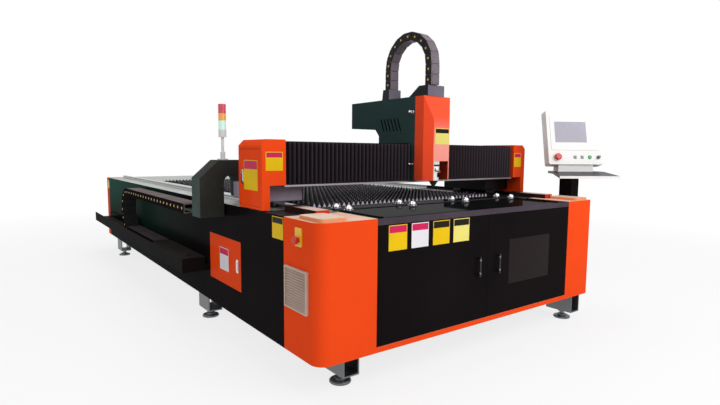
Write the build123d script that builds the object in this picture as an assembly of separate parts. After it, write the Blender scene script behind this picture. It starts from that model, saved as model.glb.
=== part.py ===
from build123d import *
from math import pi, tan
import os

os.makedirs("parts", exist_ok=True)

# A gantry laser cutting machine for sheet metal: a long bed with a toothed slat table, a gantry that
# runs along it, a cutting head that runs along the gantry, and an operator's console on a post.
# Lengths are in millimetres. X runs across the bed, Y from its front to its back, Z up from the floor.

# Bed
bed_width = 2300.0
bed_length = 4890.0
skirt_bottom = 191.0
bed_top = 875.0
sheet = 3.0
cut_over = 5.0
gap = 2.0
hinge_gap = 0.4
running = 0.4

# Front corner covers, plinth and apron
left_cover_width = 345.0
right_cover_width = 282.0
corner_depth = 329.0
corner_radius = 70.0
right_corner_radius = 12.0
plinth_height = 29.0
lip_height = 34.0
apron_depth = 600.0
rear_corner_depth = 129.0
rear_corner_width = 200.0

# Apron edging, a low bead with rounded back corners
bead_back = 437.0
bead_inset = 35.0
bead_width = 12.0
bead_height = 5.0
bead_radius = 60.0

# Tube frame under the skins
tube = 100.0
frame_inset = 20.0
upright_bay = 1250.0
cross_setback = 124.0
pan_gap = 0.3

# Side beams, guide rails and rail end caps
beam_width = 347.0
beam_height = 170.0
beam_wall = 10.0
ledge_width = 40.0
ledge_drop = 95.0
ledge_thickness = 10.0
rail_inset = 171.0
rail_width = 34.0
rail_height = 26.0
rail_end_setback = 16.0
cap_width = 82.0
cap_front = 232.0
cap_back = 560.0
cap_height = 30.0
cap_wall = 2.0
top_cap_width = 150.0
top_cap_edge = 25.0
top_cap_front = 12.0
top_cap_height = 18.0

# Toothed slats
slat_pitch = 100.0
slat_thickness = 4.0
slat_height = 113.0
tooth_pitch = 48.0
tooth_depth = 40.0
slat_start = 640.0
rear_deck_depth = 1080.0
slat_clear = 1.0

# Ball transfers on the apron
transfer_pitch = 480.0
transfer_rows = (370.0, 497.0)
transfer_base_radius = 27.0
transfer_base_height = 5.0
transfer_ball_radius = 22.0
transfer_ball_sunk_share = 0.25

# Feet: tube brackets, studs with lock nuts, and round pads
foot_left_inset = 251.0
foot_left_y = 185.0
foot_right_inset = 110.0
foot_right_y = 120.0
foot_middle_inset = 84.0
foot_middle_y = 1627.0
foot_rear_inset = 60.0
foot_rear_setback = 545.0
bracket_width = 100.0
bracket_bottom = 62.0
bracket_length = 200.0
bracket_wall = 8.0
stud_radius = 15.0
nut_radius = 28.0
nut_height = 16.0
pad_radius = 56.0
pad_height = 16.0
pad_boss_radius = 30.0
pad_boss_height = 12.0

# Front doors and handles
door_thickness = 20.0
handle_offset = 88.0
handle_low = 483.0
handle_high = 601.0
handle_radius = 6.0
handle_stand = 21.0

# Side access door, vent grille and side stop button
side_door_low = 359.0
side_door_high = 661.0
side_door_front = 870.0
side_door_back = 1378.0
lock_width = 32.0
lock_height = 82.0
lock_depth = 9.0
lock_setback = 45.0
grille_front = 85.0
grille_back = 303.0
grille_low = 426.0
grille_high = 636.0
grille_depth = 14.0
grille_frame = 10.0
louvre_count = 14
louvre_thickness = 2.5
louvre_rise = 8.0
louvre_start_share = 0.1
stop_plate_y = 172.0
stop_plate_z = 792.0
stop_plate_width = 62.0
stop_plate_height = 92.0
stop_plate_thickness = 6.0
stop_drop = 14.0
stop_radius = 20.0
stop_cap_height = 16.0
stop_stem_radius = 13.0
stop_stem_height = 12.0
stop_bore_depth = 5.0
stop_seat = 0.7
stop_travel = 4.0

# Cable trough and drag chain along the left side
trough_outer = 170.0
trough_inner = 10.0
trough_low = 385.0
trough_high = 482.0
trough_front = 1445.0
trough_rear_setback = 190.0
trough_floor = 36.0
trough_hole_radius = 14.0
trough_hole_setback = 110.0
chain_width = 118.0
chain_height = 66.0
chain_pitch = 84.0
chain_gap = 0.6
chain_wall = 9.0
chain_bend_radius = 180.0
chain_bend_y = 3150.0
chain_fixed_y = 2230.0
chain_links_in_bend = 7
chain_seat = 2.4

# Gantry
gantry_front = 572.0
gantry_back = 885.0
cover_width = 145.0
cover_leg_width = 47.0
cover_bottom = 880.0

cover_top = 1267.0
cover_chamfer = 34.0
base_inset = 320.0
base_front = 700.0
base_length = 445.0
base_bottom = 912.0
runner_width = 74.0
runner_length = 78.0
runner_bottom = 884.0
girder_front = 652.0
girder_back = 860.0
girder_bottom = 1014.0
girder_top = 1260.0
girder_wall = 12.0
x_rail_low = 1062.0
x_rail_high = 1205.0
x_rail_width = 24.0
x_rail_depth = 20.0
hatch_front = 592.0
hatch_back = 868.0
hatch_low = 897.0
hatch_high = 1213.0
hatch_lock_setback = 46.0
hatch_lock_z = 1056.0
servo_width = 84.0
servo_height = 190.0
servo_radius = 36.0
servo_back = 760.0

# Bellows over the cross rails
bellows_front = 590.0
bellows_back = 622.0
bellows_skin = 4.0
bellows_pleat = 29.0
bellows_margin = 2.0
strip_height = 10.0
strip_depth = 112.0

# Knee bracket for the drag chain, and the tower light on it
knee_front = 1076.0
knee_depth = 146.0
knee_reach = 166.0
knee_clear = 15.0
knee_low = 797.0
knee_shoulder = 1036.0
knee_top = 1146.0
knee_slope_reach = 44.0
knee_arch_inset = 38.0
knee_arch_z = 1052.0
knee_leg_inset = 88.0
knee_leg_low = 914.0
knee_arm_inset = 300.0
knee_arm_start = 150.0
knee_arm_low = 1030.0
knee_bend_share = 0.45
chain_plate_thickness = 8.0
chain_plate_length = 226.0
tower_inset = 5.0
tower_setback = 60.0
tower_flange_radius = 33.0
tower_flange_height = 8.0
tower_sleeve_radius = 15.0
tower_sleeve_height = 42.0
tower_pole_radius = 9.0
tower_pole_height = 92.0
tower_base_radius = 24.0
tower_base_height = 44.0
tower_lens_radius = 23.5
tower_lens_heights = (58.0, 44.0, 57.0)
tower_cap_height = 5.0

# Carriage, housing and head cover
carriage_left = 57.0
carriage_width = 238.0
saddle_front = 560.0
saddle_back = 620.0
saddle_bottom = 1016.0
housing_bottom = 1264.0
housing_top = 1568.0
housing_back = 941.0
arm_back = 1275.0
arm_low = 1379.0
arm_root_y = 985.0
arm_root_z = 1367.0
arm_slant_z = 1317.0
slot_count = 6
slot_width = 12.0
slot_length = 96.0
slot_pitch = 36.0
slot_lean = -22.0
slot_centre_y = 812.0
slot_centre_z = 1391.0
cover_side_depth = 80.0
cover_bevel = 48.0
cover_low = 1020.0
cover_slope_z = 1414.0
window_left = 53.0
window_width = 130.0
window_height = 127.0
knob_radius = 9.0
knob_length = 41.0
knob_stem_radius = 4.0
knob_base_shares = (0.0, 0.1)
knob_ring_shares = (0.32, 0.5)
knob_head_shares = (0.74, 1.0)
knob_y = 574.0
knob_low = 1126.0
knob_high = 1468.0

# Arch of drag chain over the head
arch_left = -15.0
arch_width = 77.0
arch_link_height = 56.0
arch_front_y = 493.0
arch_back_y = 897.0
arch_centre_z = 1774.0
arch_foot_left = 35.0
arch_foot_right = 74.0
arch_foot_front = 860.0
arch_foot_top_back = 925.0
arch_foot_back = 936.0
arch_foot_height = 74.0
arch_wedge_left = 27.0
arch_wedge_right = 120.0
arch_wedge_height = 70.0
arch_wedge_front = 476.0
arch_wedge_back = 663.0
arch_wedge_top_back = 562.0
arch_links_in_bend = 9
arch_leg_links = (2, 2)
arch_gap = 0.6
arch_wall = 7.0

# Cutting head on its vertical slide
slide_width = 120.0
slide_thickness = 16.0
slide_rail_depth = 12.0
slide_rail_width = 18.0
slide_low = 1060.0
slide_high = 1400.0
head_x = 44.0
head_y = 482.0
head_width = 62.0
head_depth = 58.0
head_low = 1070.0
head_high = 1300.0
collar_radius = 27.0
collar_height = 28.0
nozzle_top_radius = 34.0
nozzle_tip_radius = 7.0
nozzle_tip_z = 977.0
nozzle_ring_height = 22.0

# Console and post
post_reach = 143.0
post_y = 265.0
post_size = 100.0
post_bottom = 300.0
post_tie_heights = (358.0, 758.0)
post_tie_size = 60.0
tray_back_top = 1069.0
tray_thickness = 18.0
tray_width = 446.0
tray_front = 312.0
tray_slope_start = 96.0
tray_back = 70.0
tray_drop = 24.0
tray_left_back = 140.0
console_yaw = 32.5
console_tilt = 14.8
console_width = 425.0
console_height = 424.0
console_depth = 84.0
console_forward = 55.0
console_centre_z = 1329.0
console_edge = 14.0
neck_width = 270.0
neck_depth = 84.0
bezel_width = 374.0
bezel_low = 102.0
bezel_high = 169.0
bezel_proud = 3.0
bezel_line = 10.0
screen_width = 246.0
screen_height = 162.0
screen_x = -31.0
screen_z = 38.0
screen_depth = 2.0
control_z = -156.0
control_places = (-146.0, -8.0, 46.0, 106.0, 172.0)
console_stop_radius = 25.0
small_button = 11.0
small_button_depth = 8.0
start_radius = 14.0
start_depth = 12.0
key_radius = 14.0
key_depth = 8.0
key_blade = 5.0
key_blade_height = 20.0

half = bed_width / 2
rail_x = half - rail_inset
cover_inner = half - cover_width
cover_leg_inner = half - cover_leg_width
base_inner = half - base_inset
knee_outer = half + knee_reach
knee_inner = half + knee_clear
knee_slope_x = half + knee_slope_reach
knee_arch_x = half - knee_arch_inset
knee_leg_x = half - knee_leg_inset
knee_right = half - knee_arm_inset
knee_arm_left = half - knee_arm_start
tower_x = half - tower_inset
post_x = half + post_reach
trough_back = bed_length - trough_rear_setback
table_back = bed_length - rear_deck_depth
slat_count = 1 + round((table_back - slat_start - slat_pitch / 2) / slat_pitch)
foot_middle = half - foot_middle_inset
foot_rear = half - foot_rear_inset
foot_rear_y = bed_length - foot_rear_setback
foot_places = ((foot_left_inset - half, foot_left_y), (half - foot_right_inset, foot_right_y),
               (-foot_middle, foot_middle_y), (foot_middle, foot_middle_y),
               (-foot_rear, foot_rear_y), (foot_rear, foot_rear_y))
deck_bottom = bed_top - sheet
frame_bottom = skirt_bottom
frame_side = half - frame_inset
chain_side = -half - trough_inner - (trough_outer - trough_inner) / 2
trough_left = -half - trough_outer
trough_right = -half - trough_inner
lower_centre_z = trough_low + trough_floor + sheet + chain_seat + chain_height / 2
upper_centre_z = lower_centre_z + 2 * chain_bend_radius
door_left_edge = -half + left_cover_width
door_right_edge = half - right_cover_width
door_seam = (door_left_edge + door_right_edge) / 2
door_low = skirt_bottom + plinth_height
door_high = bed_top - lip_height
table_edge = half - sheet - beam_width
cover_back_y = saddle_front
carriage_x0 = -carriage_left
carriage_x1 = carriage_x0 + carriage_width


def block(x0, x1, y0, y1, z0, z1):
    """A box between two corners."""
    middle = Pos((x0 + x1) / 2, (y0 + y1) / 2, (z0 + z1) / 2)
    return middle * Box(x1 - x0, y1 - y0, z1 - z0)


def along_x(points, x0, x1):
    """A profile of (y, z) points drawn out along X."""
    plane = Plane(origin=(x0, 0, 0), x_dir=(0, 1, 0), z_dir=(1, 0, 0))
    return extrude(plane * Polygon(*points, align=None), amount=x1 - x0, dir=(1, 0, 0))


def along_y(points, y0, y1):
    """A profile of (x, z) points drawn out along Y."""
    plane = Plane(origin=(0, y0, 0), x_dir=(1, 0, 0), z_dir=(0, -1, 0))
    return extrude(plane * Polygon(*points, align=None), amount=y1 - y0, dir=(0, 1, 0))


def along_z(points, z0, z1):
    """A profile of (x, y) points drawn out along Z."""
    plane = Plane(origin=(0, 0, z0))
    return extrude(plane * Polygon(*points, align=None), amount=z1 - z0, dir=(0, 0, 1))


def rod(x, y, z0, z1, radius):
    """An upright cylinder."""
    return Pos(x, y, (z0 + z1) / 2) * Cylinder(radius, z1 - z0)


def rod_x(x0, x1, y, z, radius):
    """A cylinder along X."""
    return Pos((x0 + x1) / 2, y, z) * Rot(0, 90, 0) * Cylinder(radius, x1 - x0)


def rod_y(x, y0, y1, z, radius):
    """A cylinder along Y."""
    return Pos(x, (y0 + y1) / 2, z) * Rot(90, 0, 0) * Cylinder(radius, y1 - y0)


def mirrored(shape):
    """The same shape on the other side of the bed."""
    return mirror(shape, about=Plane.YZ)


def group(shapes):
    """Separate solids that belong to one node."""
    solids = []
    for shape in shapes:
        solids.extend(shape.solids())
    return Compound(solids)


# Tube frame: base rails, cross members and uprights
def bed_frame():
    top = frame_bottom + tube
    beam_low = bed_top - beam_height
    back = bed_length - cross_setback
    pieces = []
    for side in (-1, 1):
        outer = side * frame_side
        inner = side * (frame_side - tube)
        x0, x1 = min(outer, inner), max(outer, inner)
        pieces.append(block(x0, x1, cross_setback, back, frame_bottom, top))
        bays = int((back - cross_setback - tube) // upright_bay)
        for i in range(bays + 1):
            y = cross_setback + corner_depth + i * (back - cross_setback - corner_depth - tube) / bays
            pieces.append(block(x0, x1, y, y + tube, top, beam_low))
    reach = frame_side - tube
    bays = int((back - cross_setback - tube) // upright_bay)
    for i in range(bays + 1):
        y = cross_setback + i * (back - cross_setback - tube) / bays
        pieces.append(block(-reach, reach, y, y + tube, frame_bottom, top))
    return group(pieces)


# Side beams carry the guide rails on top and the slat ledges on their inner faces
def side_beams():
    outer = half - sheet
    low = bed_top - beam_height
    back = bed_length - rear_corner_depth
    beam = block(-outer, -table_edge, corner_depth, back, low, bed_top)
    beam -= block(-outer + beam_wall, -table_edge - beam_wall, corner_depth - cut_over, back + cut_over,
                  low + beam_wall, bed_top - beam_wall)
    shelf = bed_top - ledge_drop
    slats_end = slat_start + (slat_count - 1) * slat_pitch + slat_pitch / 2
    ledge = block(-table_edge, -table_edge + ledge_width, slat_start - slat_pitch / 2, slats_end,
                  shelf - ledge_thickness, shelf)
    left = beam + ledge
    return group([left, mirrored(left)])


def guide_rails():
    back = bed_length - rear_corner_depth - rail_end_setback
    start = corner_depth + rail_end_setback
    groove = rail_width / 6
    w = rail_width / 2
    z0, z1 = bed_top, bed_top + rail_height
    profile = [(-w, z0), (w, z0), (w, z0 + groove), (w - groove, z0 + 2 * groove), (w, z1 - groove),
               (w, z1), (-w, z1), (-w, z1 - groove), (-w + groove, z0 + 2 * groove), (-w, z0 + groove)]
    left = along_y([(x - rail_x, z) for x, z in profile], start, back)
    return group([left, mirrored(left)])


# Orange caps over the front ends of the rails, and raised top plates on the front corners
def rail_end_caps():
    x0, x1 = -rail_x - cap_width / 2, -rail_x + cap_width / 2
    top = bed_top + cap_height
    cap = block(x0, x1, cap_front, cap_back, bed_top, top)
    hollow = block(x0 + cap_wall, x1 - cap_wall, cap_front + cap_wall, cap_back + cut_over,
                   bed_top - cut_over, top - cap_wall)
    left = cap - hollow
    plate_x = -half + top_cap_edge
    plate = block(plate_x, plate_x + top_cap_width, top_cap_front, cap_front - gap, bed_top,
                  bed_top + top_cap_height)
    plate = fillet(plate.edges().filter_by(Axis.Z), top_cap_edge)
    return group([left, mirrored(left), plate, mirrored(plate)])


def side_panels():
    left = block(-half, -half + sheet, corner_depth, bed_length - rear_corner_depth, skirt_bottom, bed_top)
    right = mirrored(left)
    hole = block(-half - cut_over, -half + sheet + cut_over, side_door_front - gap, side_door_back + hinge_gap,
                 side_door_low - gap, side_door_high + gap)
    return group([left - hole, right])


def rear_panel():
    reach = half - rear_corner_width
    return block(-reach, reach, bed_length - sheet, bed_length, skirt_bottom, bed_top)


def corner_shell(width, depth, radius):
    """A bent cover for a corner at the origin, open behind, with a top plate."""
    outer = block(0, width, 0, depth, skirt_bottom, bed_top)
    edge = outer.edges().filter_by(Axis.Z).sort_by_distance((0, 0, bed_top))[0]
    outer = fillet(edge, radius)
    inner = block(sheet, width + cut_over, sheet, depth + cut_over, skirt_bottom - cut_over, deck_bottom)
    edge = inner.edges().filter_by(Axis.Z).sort_by_distance((sheet, sheet, deck_bottom))[0]
    return outer - fillet(edge, radius - sheet)


# Front corner covers with rounded edges, and the plinth strip below the doors
def front_surround():
    left = Pos(-half, 0, 0) * corner_shell(left_cover_width, corner_depth, corner_radius)
    right = Pos(-half, 0, 0) * corner_shell(right_cover_width, corner_depth, right_corner_radius)
    plinth = block(door_left_edge, door_right_edge, 0, door_thickness, skirt_bottom, door_low)
    return group([left, mirrored(right), plinth])


def rear_corners():
    left = corner_shell(rear_corner_width, rear_corner_depth, sheet * 2)
    left = Pos(-half, bed_length, 0) * mirror(left, about=Plane.XZ)
    return group([left, mirrored(left)])


# Folded apron plate at the front, with a front lip and a raised bead round its back
def front_apron():
    plate = block(door_left_edge, door_right_edge, 0, corner_depth, deck_bottom, bed_top)
    plate += block(-table_edge, table_edge, 0, apron_depth, deck_bottom, bed_top)
    lip = block(door_left_edge, door_right_edge, 0, sheet, door_high, bed_top)
    x0, x1 = -table_edge + bead_inset, table_edge - bead_inset
    outer = block(x0, x1, sheet, bead_back, deck_bottom, bed_top + bead_height)
    outer = fillet(outer.edges().filter_by(Axis.Z).group_by(Axis.Y)[-1], bead_radius)
    inner = block(x0 + bead_width, x1 - bead_width, -cut_over, bead_back - bead_width,
                  deck_bottom - cut_over, bed_top + bead_height + cut_over)
    inner = fillet(inner.edges().filter_by(Axis.Z).group_by(Axis.Y)[-1], bead_radius - bead_width)
    return plate + lip + (outer - inner)


def rear_deck():
    start = slat_start + (slat_count - 1) * slat_pitch + slat_pitch / 2
    deck = block(-table_edge, table_edge, start, bed_length - rear_corner_depth, deck_bottom, bed_top)
    reach = half - rear_corner_width
    return deck + block(-reach, reach, bed_length - rear_corner_depth, bed_length - sheet, deck_bottom, bed_top)


# Each slat is a plate with a row of pointed teeth
def cutting_slats():
    shelf = bed_top - ledge_drop
    reach = table_edge - slat_clear
    count = int(2 * reach // tooth_pitch)
    pitch = 2 * reach / count
    tip = shelf + slat_height
    points = [(-reach, shelf), (reach, shelf)]
    for i in range(count):
        points.append((reach - i * pitch, tip - tooth_depth))
        points.append((reach - (i + 0.5) * pitch, tip))
    points.append((-reach, tip - tooth_depth))
    slat = along_y(points, slat_start - slat_thickness / 2, slat_start + slat_thickness / 2)
    return group([Pos(0, i * slat_pitch, 0) * slat for i in range(slat_count)])


def slag_pan():
    z = frame_bottom + tube
    reach = frame_side - tube - pan_gap
    return block(-reach, reach, cross_setback, bed_length - cross_setback, z, z + sheet)


def ball_transfers():
    units = []
    for y in transfer_rows:
        for i in range(4):
            x = (i - 1.5) * transfer_pitch
            base = rod(x, y, bed_top, bed_top + transfer_base_height, transfer_base_radius)
            rise = transfer_ball_radius * transfer_ball_sunk_share
            ball = Pos(x, y, bed_top + transfer_base_height + rise) * Sphere(transfer_ball_radius)
            below = block(x - pad_radius, x + pad_radius, y - pad_radius, y + pad_radius,
                          bed_top - pad_radius, bed_top + transfer_base_height)
            units.append(base + (ball - below))
    return group(units)


# Open tube brackets under the frame
def foot_brackets():
    pieces = []
    for x, y in foot_places:
        x0, x1 = x - bracket_width / 2, x + bracket_width / 2
        y0, y1 = y - bracket_length / 2, y + bracket_length / 2
        body = block(x0, x1, y0, y1, bracket_bottom, skirt_bottom)
        hollow = block(x0 + bracket_wall, x1 - bracket_wall, y0 - cut_over, y1 + cut_over,
                       bracket_bottom + bracket_wall, skirt_bottom - bracket_wall)
        pieces.append(body - hollow)
    return group(pieces)


# Studs with lock nuts that seat under the brackets, on round pads
def levelling_feet():
    pieces = []
    for x, y in foot_places:
        pad = rod(x, y, 0, pad_height, pad_radius)
        pad = chamfer(pad.edges().group_by(Axis.Z)[-1], pad_height / 4)
        boss = rod(x, y, pad_height, pad_height + pad_boss_height, pad_boss_radius)
        stud = rod(x, y, pad_height, bracket_bottom, stud_radius)
        nut_plane = Plane(origin=(x, y, bracket_bottom - nut_height))
        nut = extrude(nut_plane * RegularPolygon(nut_radius, 6), amount=nut_height)
        pieces.append(pad + boss + stud + nut)
    return group(pieces)


# Louvred vent grille on the left corner cover
def vent_grille():
    x0, x1 = -half - grille_depth, -half
    body = block(x0, x1, grille_front, grille_back, grille_low, grille_high)
    y0, y1 = grille_front + grille_frame, grille_back - grille_frame
    z0, z1 = grille_low + grille_frame, grille_high - grille_frame
    grille = body - block(x0 - cut_over, x1 - louvre_thickness, y0, y1, z0, z1)
    pitch = (z1 - z0) / louvre_count
    root = louvre_thickness / 2
    for i in range(louvre_count):
        z = z0 + (i + louvre_start_share) * pitch
        blade = [(x0 + louvre_thickness, z), (x1 - root, z + louvre_rise),
                 (x1 - root, z + louvre_rise + louvre_thickness),
                 (x0 + louvre_thickness, z + louvre_thickness)]
        grille += along_y(blade, y0 - root, y1 + root)
    return grille


def stop_button(radius, stem_seat):
    """A mushroom button along +Z, with its stem sunk by stem_seat below zero."""
    stem = rod(0, 0, -stem_seat, stop_stem_height, stop_stem_radius)
    cap = rod(0, 0, stop_stem_height, stop_stem_height + stop_cap_height, radius)
    cap = fillet(cap.edges().group_by(Axis.Z)[-1], stop_cap_height / 2)
    return stem + cap


stop_button_z = stop_plate_z - stop_drop


def stop_plate():
    x1 = -half
    x0 = x1 - stop_plate_thickness
    w, h = stop_plate_width / 2, stop_plate_height / 2
    plate = block(x0, x1, stop_plate_y - w, stop_plate_y + w, stop_plate_z - h, stop_plate_z + h)
    plate = fillet(plate.edges().filter_by(Axis.X), stop_plate_thickness)
    bore = rod_x(x0 - cut_over, x0 + stop_bore_depth, stop_plate_y, stop_button_z, stop_stem_radius + running)
    return plate - bore


def side_stop():
    x0 = -half - stop_plate_thickness
    return Pos(x0, stop_plate_y, stop_button_z) * Rot(0, -90, 0) * stop_button(stop_radius, stop_seat)


# Cable trough: a closed front part with a cable hole, then an open channel for the chain
def chain_tray():
    bed_z = trough_low + trough_floor + sheet
    base = block(trough_left, trough_right, trough_front, trough_back, trough_low, bed_z)
    outer = block(trough_left, trough_left + sheet, trough_front, trough_back, bed_z, trough_high)
    inner = block(trough_right - sheet, trough_right, trough_front, trough_back, bed_z, trough_high)
    end = block(trough_left, trough_right, trough_front, trough_front + sheet, bed_z, trough_high)
    lid = block(trough_left, trough_right, trough_front, chain_fixed_y - gap, trough_high - sheet, trough_high)
    x = (trough_left + trough_right) / 2
    hole_y = trough_front + trough_hole_setback
    lid -= rod(x, hole_y, bed_z, trough_high + cut_over, trough_hole_radius)
    tray = base + outer + inner + end + lid
    span = trough_back - trough_front - tube
    for i in range(4):
        y = trough_front + i * span / 3
        tray += block(trough_right, -half, y, y + tube, trough_low, bed_z)
    return tray


def chain_link(width, height, length, wall):
    """A hollow chain link along Y about the origin."""
    body = Box(width, length, height)
    return body - Box(width - 2 * wall, length + cut_over, height - 2 * wall)


def straight_links(x, z, y0, y1):
    count = round((y1 - y0) / chain_pitch)
    pitch = (y1 - y0) / count
    link = chain_link(chain_width, chain_height, pitch - chain_gap, chain_wall)
    return group([Pos(x, y0 + (i + 0.5) * pitch, z) * link for i in range(count)])


chain_start_y = knee_front + knee_depth + chain_plate_length


def y_chain_upper():
    return straight_links(chain_side, upper_centre_z, chain_start_y, chain_bend_y)


def y_chain_lower():
    return straight_links(chain_side, lower_centre_z, chain_fixed_y, chain_bend_y)


def bend_link_length(radius, height, count, space):
    inner = radius - height / 2
    return 2 * inner * tan(pi / count / 2) - space


def y_chain_bend():
    turn = 180 / chain_links_in_bend
    length = bend_link_length(chain_bend_radius, chain_height, chain_links_in_bend, chain_gap)
    link = chain_link(chain_width, chain_height, length, chain_wall)
    centre = Pos(chain_side, chain_bend_y, lower_centre_z + chain_bend_radius)
    links = []
    for i in range(chain_links_in_bend):
        links.append(centre * Rot((i + 0.5) * turn, 0, 0) * Pos(0, 0, -chain_bend_radius) * link)
    return group(links)


# Post for the console, with two ties to the side of the bed
def console_post():
    h = post_size / 2
    top = tray_back_top - tray_thickness - running
    post = block(post_x - h, post_x + h, post_y - h, post_y + h, post_bottom, top)
    t = post_tie_size / 2
    for z in post_tie_heights:
        post += block(half, post_x - h, post_y - t, post_y + t, z - t, z + t)
    return post


def door_pan(x0, x1):
    """A folded front door, open at the back."""
    z0, z1 = door_low + gap, door_high - gap
    pan = block(x0, x1, 0, door_thickness, z0, z1)
    return pan - block(x0 + sheet, x1 - sheet, sheet, door_thickness + cut_over, z0 + sheet, z1 - sheet)


def front_door_left():
    return door_pan(door_left_edge + hinge_gap, door_seam - gap / 2)


def front_door_right():
    return door_pan(door_seam + gap / 2, door_right_edge - hinge_gap)


def door_handle(x):
    bar = rod(x, -handle_stand, handle_low, handle_high, handle_radius)
    for z in (handle_low + 2 * handle_radius, handle_high - 2 * handle_radius):
        bar += rod_y(x, -handle_stand, 0, z, handle_radius)
    return bar


def side_pan(x, y0, y1, z0, z1, depth):
    """A folded door in a side wall, its face at x, open inside."""
    pan = block(x, x + depth, y0, y1, z0, z1)
    return pan - block(x + sheet, x + depth + cut_over, y0 + sheet, y1 - sheet, z0 + sheet, z1 - sheet)


def access_door():
    return side_pan(-half, side_door_front, side_door_back, side_door_low, side_door_high, door_thickness)


def swing_lock(y, z):
    plate = block(-half - lock_depth / 2, -half, y - lock_width / 2, y + lock_width / 2,
                  z - lock_height / 2, z + lock_height / 2)
    plate = fillet(plate.edges().filter_by(Axis.X), lock_width / 3)
    grip = block(-half - lock_depth, -half - lock_depth / 2, y - lock_width / 4, y + lock_width / 4,
                 z - lock_height / 3, z + lock_height / 3)
    return plate + grip


def access_lock():
    return swing_lock(side_door_front + lock_setback, (side_door_low + side_door_high) / 2)


cover_step = girder_bottom


# Gantry girder: a box tube with two cross rails on its front face
def gantry_girder():
    reach = cover_inner - cut_over
    body = block(-reach, reach, girder_front, girder_back, girder_bottom, girder_top)
    body -= block(-reach - cut_over, reach + cut_over, girder_front + girder_wall, girder_back - girder_wall,
                  girder_bottom + girder_wall, girder_top - girder_wall)
    for z in (x_rail_low, x_rail_high):
        body += block(-reach, reach, girder_front - x_rail_depth, girder_front,
                      z - x_rail_width / 2, z + x_rail_width / 2)
    return body


def gantry_base(y1):
    base = block(base_inner, cover_leg_inner, base_front, y1, base_bottom, girder_bottom)
    return chamfer(base.edges().filter_by(Axis.X).group_by(Axis.Z)[0], cut_over)


def gantry_bases():
    return group([mirrored(gantry_base(knee_front)), gantry_base(base_front + base_length)])


# Runner blocks that straddle the guide rails
def gantry_runners():
    w = runner_width / 2
    c = rail_width / 2 + running
    top = bed_top + rail_height + running
    profile = [(-w, runner_bottom), (-c, runner_bottom), (-c, top), (c, top), (c, runner_bottom),
               (w, runner_bottom), (w, base_bottom), (-w, base_bottom)]
    profile = [(x - rail_x, z) for x, z in profile]
    blocks = []
    set_in = cut_over + runner_length
    for y in (base_front + cut_over, knee_front - set_in):
        blocks.append(along_y(profile, y, y + runner_length))
    for y in (base_front + cut_over, base_front + base_length - set_in):
        blocks.append(mirrored(along_y(profile, y, y + runner_length)))
    return group(blocks)


# Sheet covers over the gantry ends, stepped at the front and open below
def gantry_cover():
    outer = [(-half, cover_bottom), (-cover_leg_inner, cover_bottom), (-cover_leg_inner, cover_step),
             (-cover_inner, cover_step), (-cover_inner, cover_top), (-half + cover_chamfer, cover_top),
             (-half, cover_top - cover_chamfer)]
    shell = along_y(outer, gantry_front, gantry_back)
    shell = fillet(shell.edges().filter_by(Axis.Z).group_by(Axis.X)[0], sheet * 2)
    x0, x1 = -half + sheet, -cover_inner - sheet
    top = cover_top - sheet
    slope = cover_chamfer
    room = [(x0, cover_step - cut_over), (x1, cover_step - cut_over), (x1, top), (x0 + slope, top),
            (x0, top - slope)]
    y0, y1 = gantry_front + sheet, gantry_back - sheet
    shell -= along_y(room, y0, y1)
    leg = block(x0, -cover_leg_inner - sheet, y0, y1, cover_bottom - cut_over, cover_step)
    return shell - leg


def gantry_covers():
    hole = block(-half - cut_over, -half + sheet + cut_over, hatch_front - hinge_gap, hatch_back + gap,
                 hatch_low - gap, hatch_high + gap)
    return group([gantry_cover() - hole, mirrored(gantry_cover())])


def hatch():
    return side_pan(-half, hatch_front, hatch_back, hatch_low, hatch_high, door_thickness / 2)


def hatch_lock():
    return swing_lock(hatch_back - hatch_lock_setback, hatch_lock_z)


def gantry_servos():
    x = -(cover_inner + cover_leg_inner) / 2
    w = servo_width / 2
    z1 = girder_bottom + servo_height / 3
    gearbox = block(x - w, x + w, servo_back - w, servo_back + w, girder_bottom, z1)
    motor = rod(x, servo_back, z1, girder_bottom + servo_height, servo_radius)
    left = gearbox + motor
    return group([left, mirrored(left)])


# Pleated bellows between a gantry cover and the carriage
def bellows(x0, x1):
    low, high = saddle_bottom, girder_top - bellows_margin * 2
    count = round((x1 - x0) / bellows_pleat)
    pitch = (x1 - x0) / count
    peak, valley = bellows_front, bellows_back - bellows_skin
    front = []
    for i in range(count):
        front.append((x0 + i * pitch, valley))
        front.append((x0 + (i + 0.5) * pitch, peak))
    front.append((x1, valley))
    back = [(x, y + bellows_skin) for x, y in reversed(front)]
    return along_z(front + back, low, high)


def bellows_left():
    return bellows(-cover_inner, carriage_x0 - running)


def bellows_right():
    return bellows(carriage_x1 + running, cover_inner)


def bellows_strip():
    reach = cover_inner
    y0 = bellows_front - bellows_margin
    return block(-reach, reach, y0, y0 + strip_depth, girder_bottom - strip_height, girder_bottom)


# Knee bracket that reaches over the side of the bed to the drag chain
def knee_bracket():
    y0, y1 = knee_front, knee_front + knee_depth
    outline = [(-knee_right, knee_top), (-knee_slope_x, knee_top), (-knee_outer, knee_shoulder),
               (-knee_outer, knee_low), (-knee_inner, knee_low), (-knee_inner, knee_leg_low),
               (-knee_right, knee_leg_low)]
    body = along_y(outline, y0, y1)
    notch = block(-knee_inner, -knee_leg_x, y0 - cut_over, y1 + cut_over, knee_low - cut_over, knee_arch_z)
    bend = (knee_inner - knee_leg_x) * knee_bend_share
    body -= fillet(notch.edges().filter_by(Axis.Y).group_by(Axis.Z)[-1], bend)
    body += block(-knee_arm_left, -knee_right, girder_back, y0, knee_arm_low, knee_top)
    w = chain_width / 2
    t = chain_plate_thickness / 2
    body += block(chain_side - w, chain_side + w, y1, chain_start_y, upper_centre_z - t, upper_centre_z + t)
    return body


tower_y = knee_front + tower_setback


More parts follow.
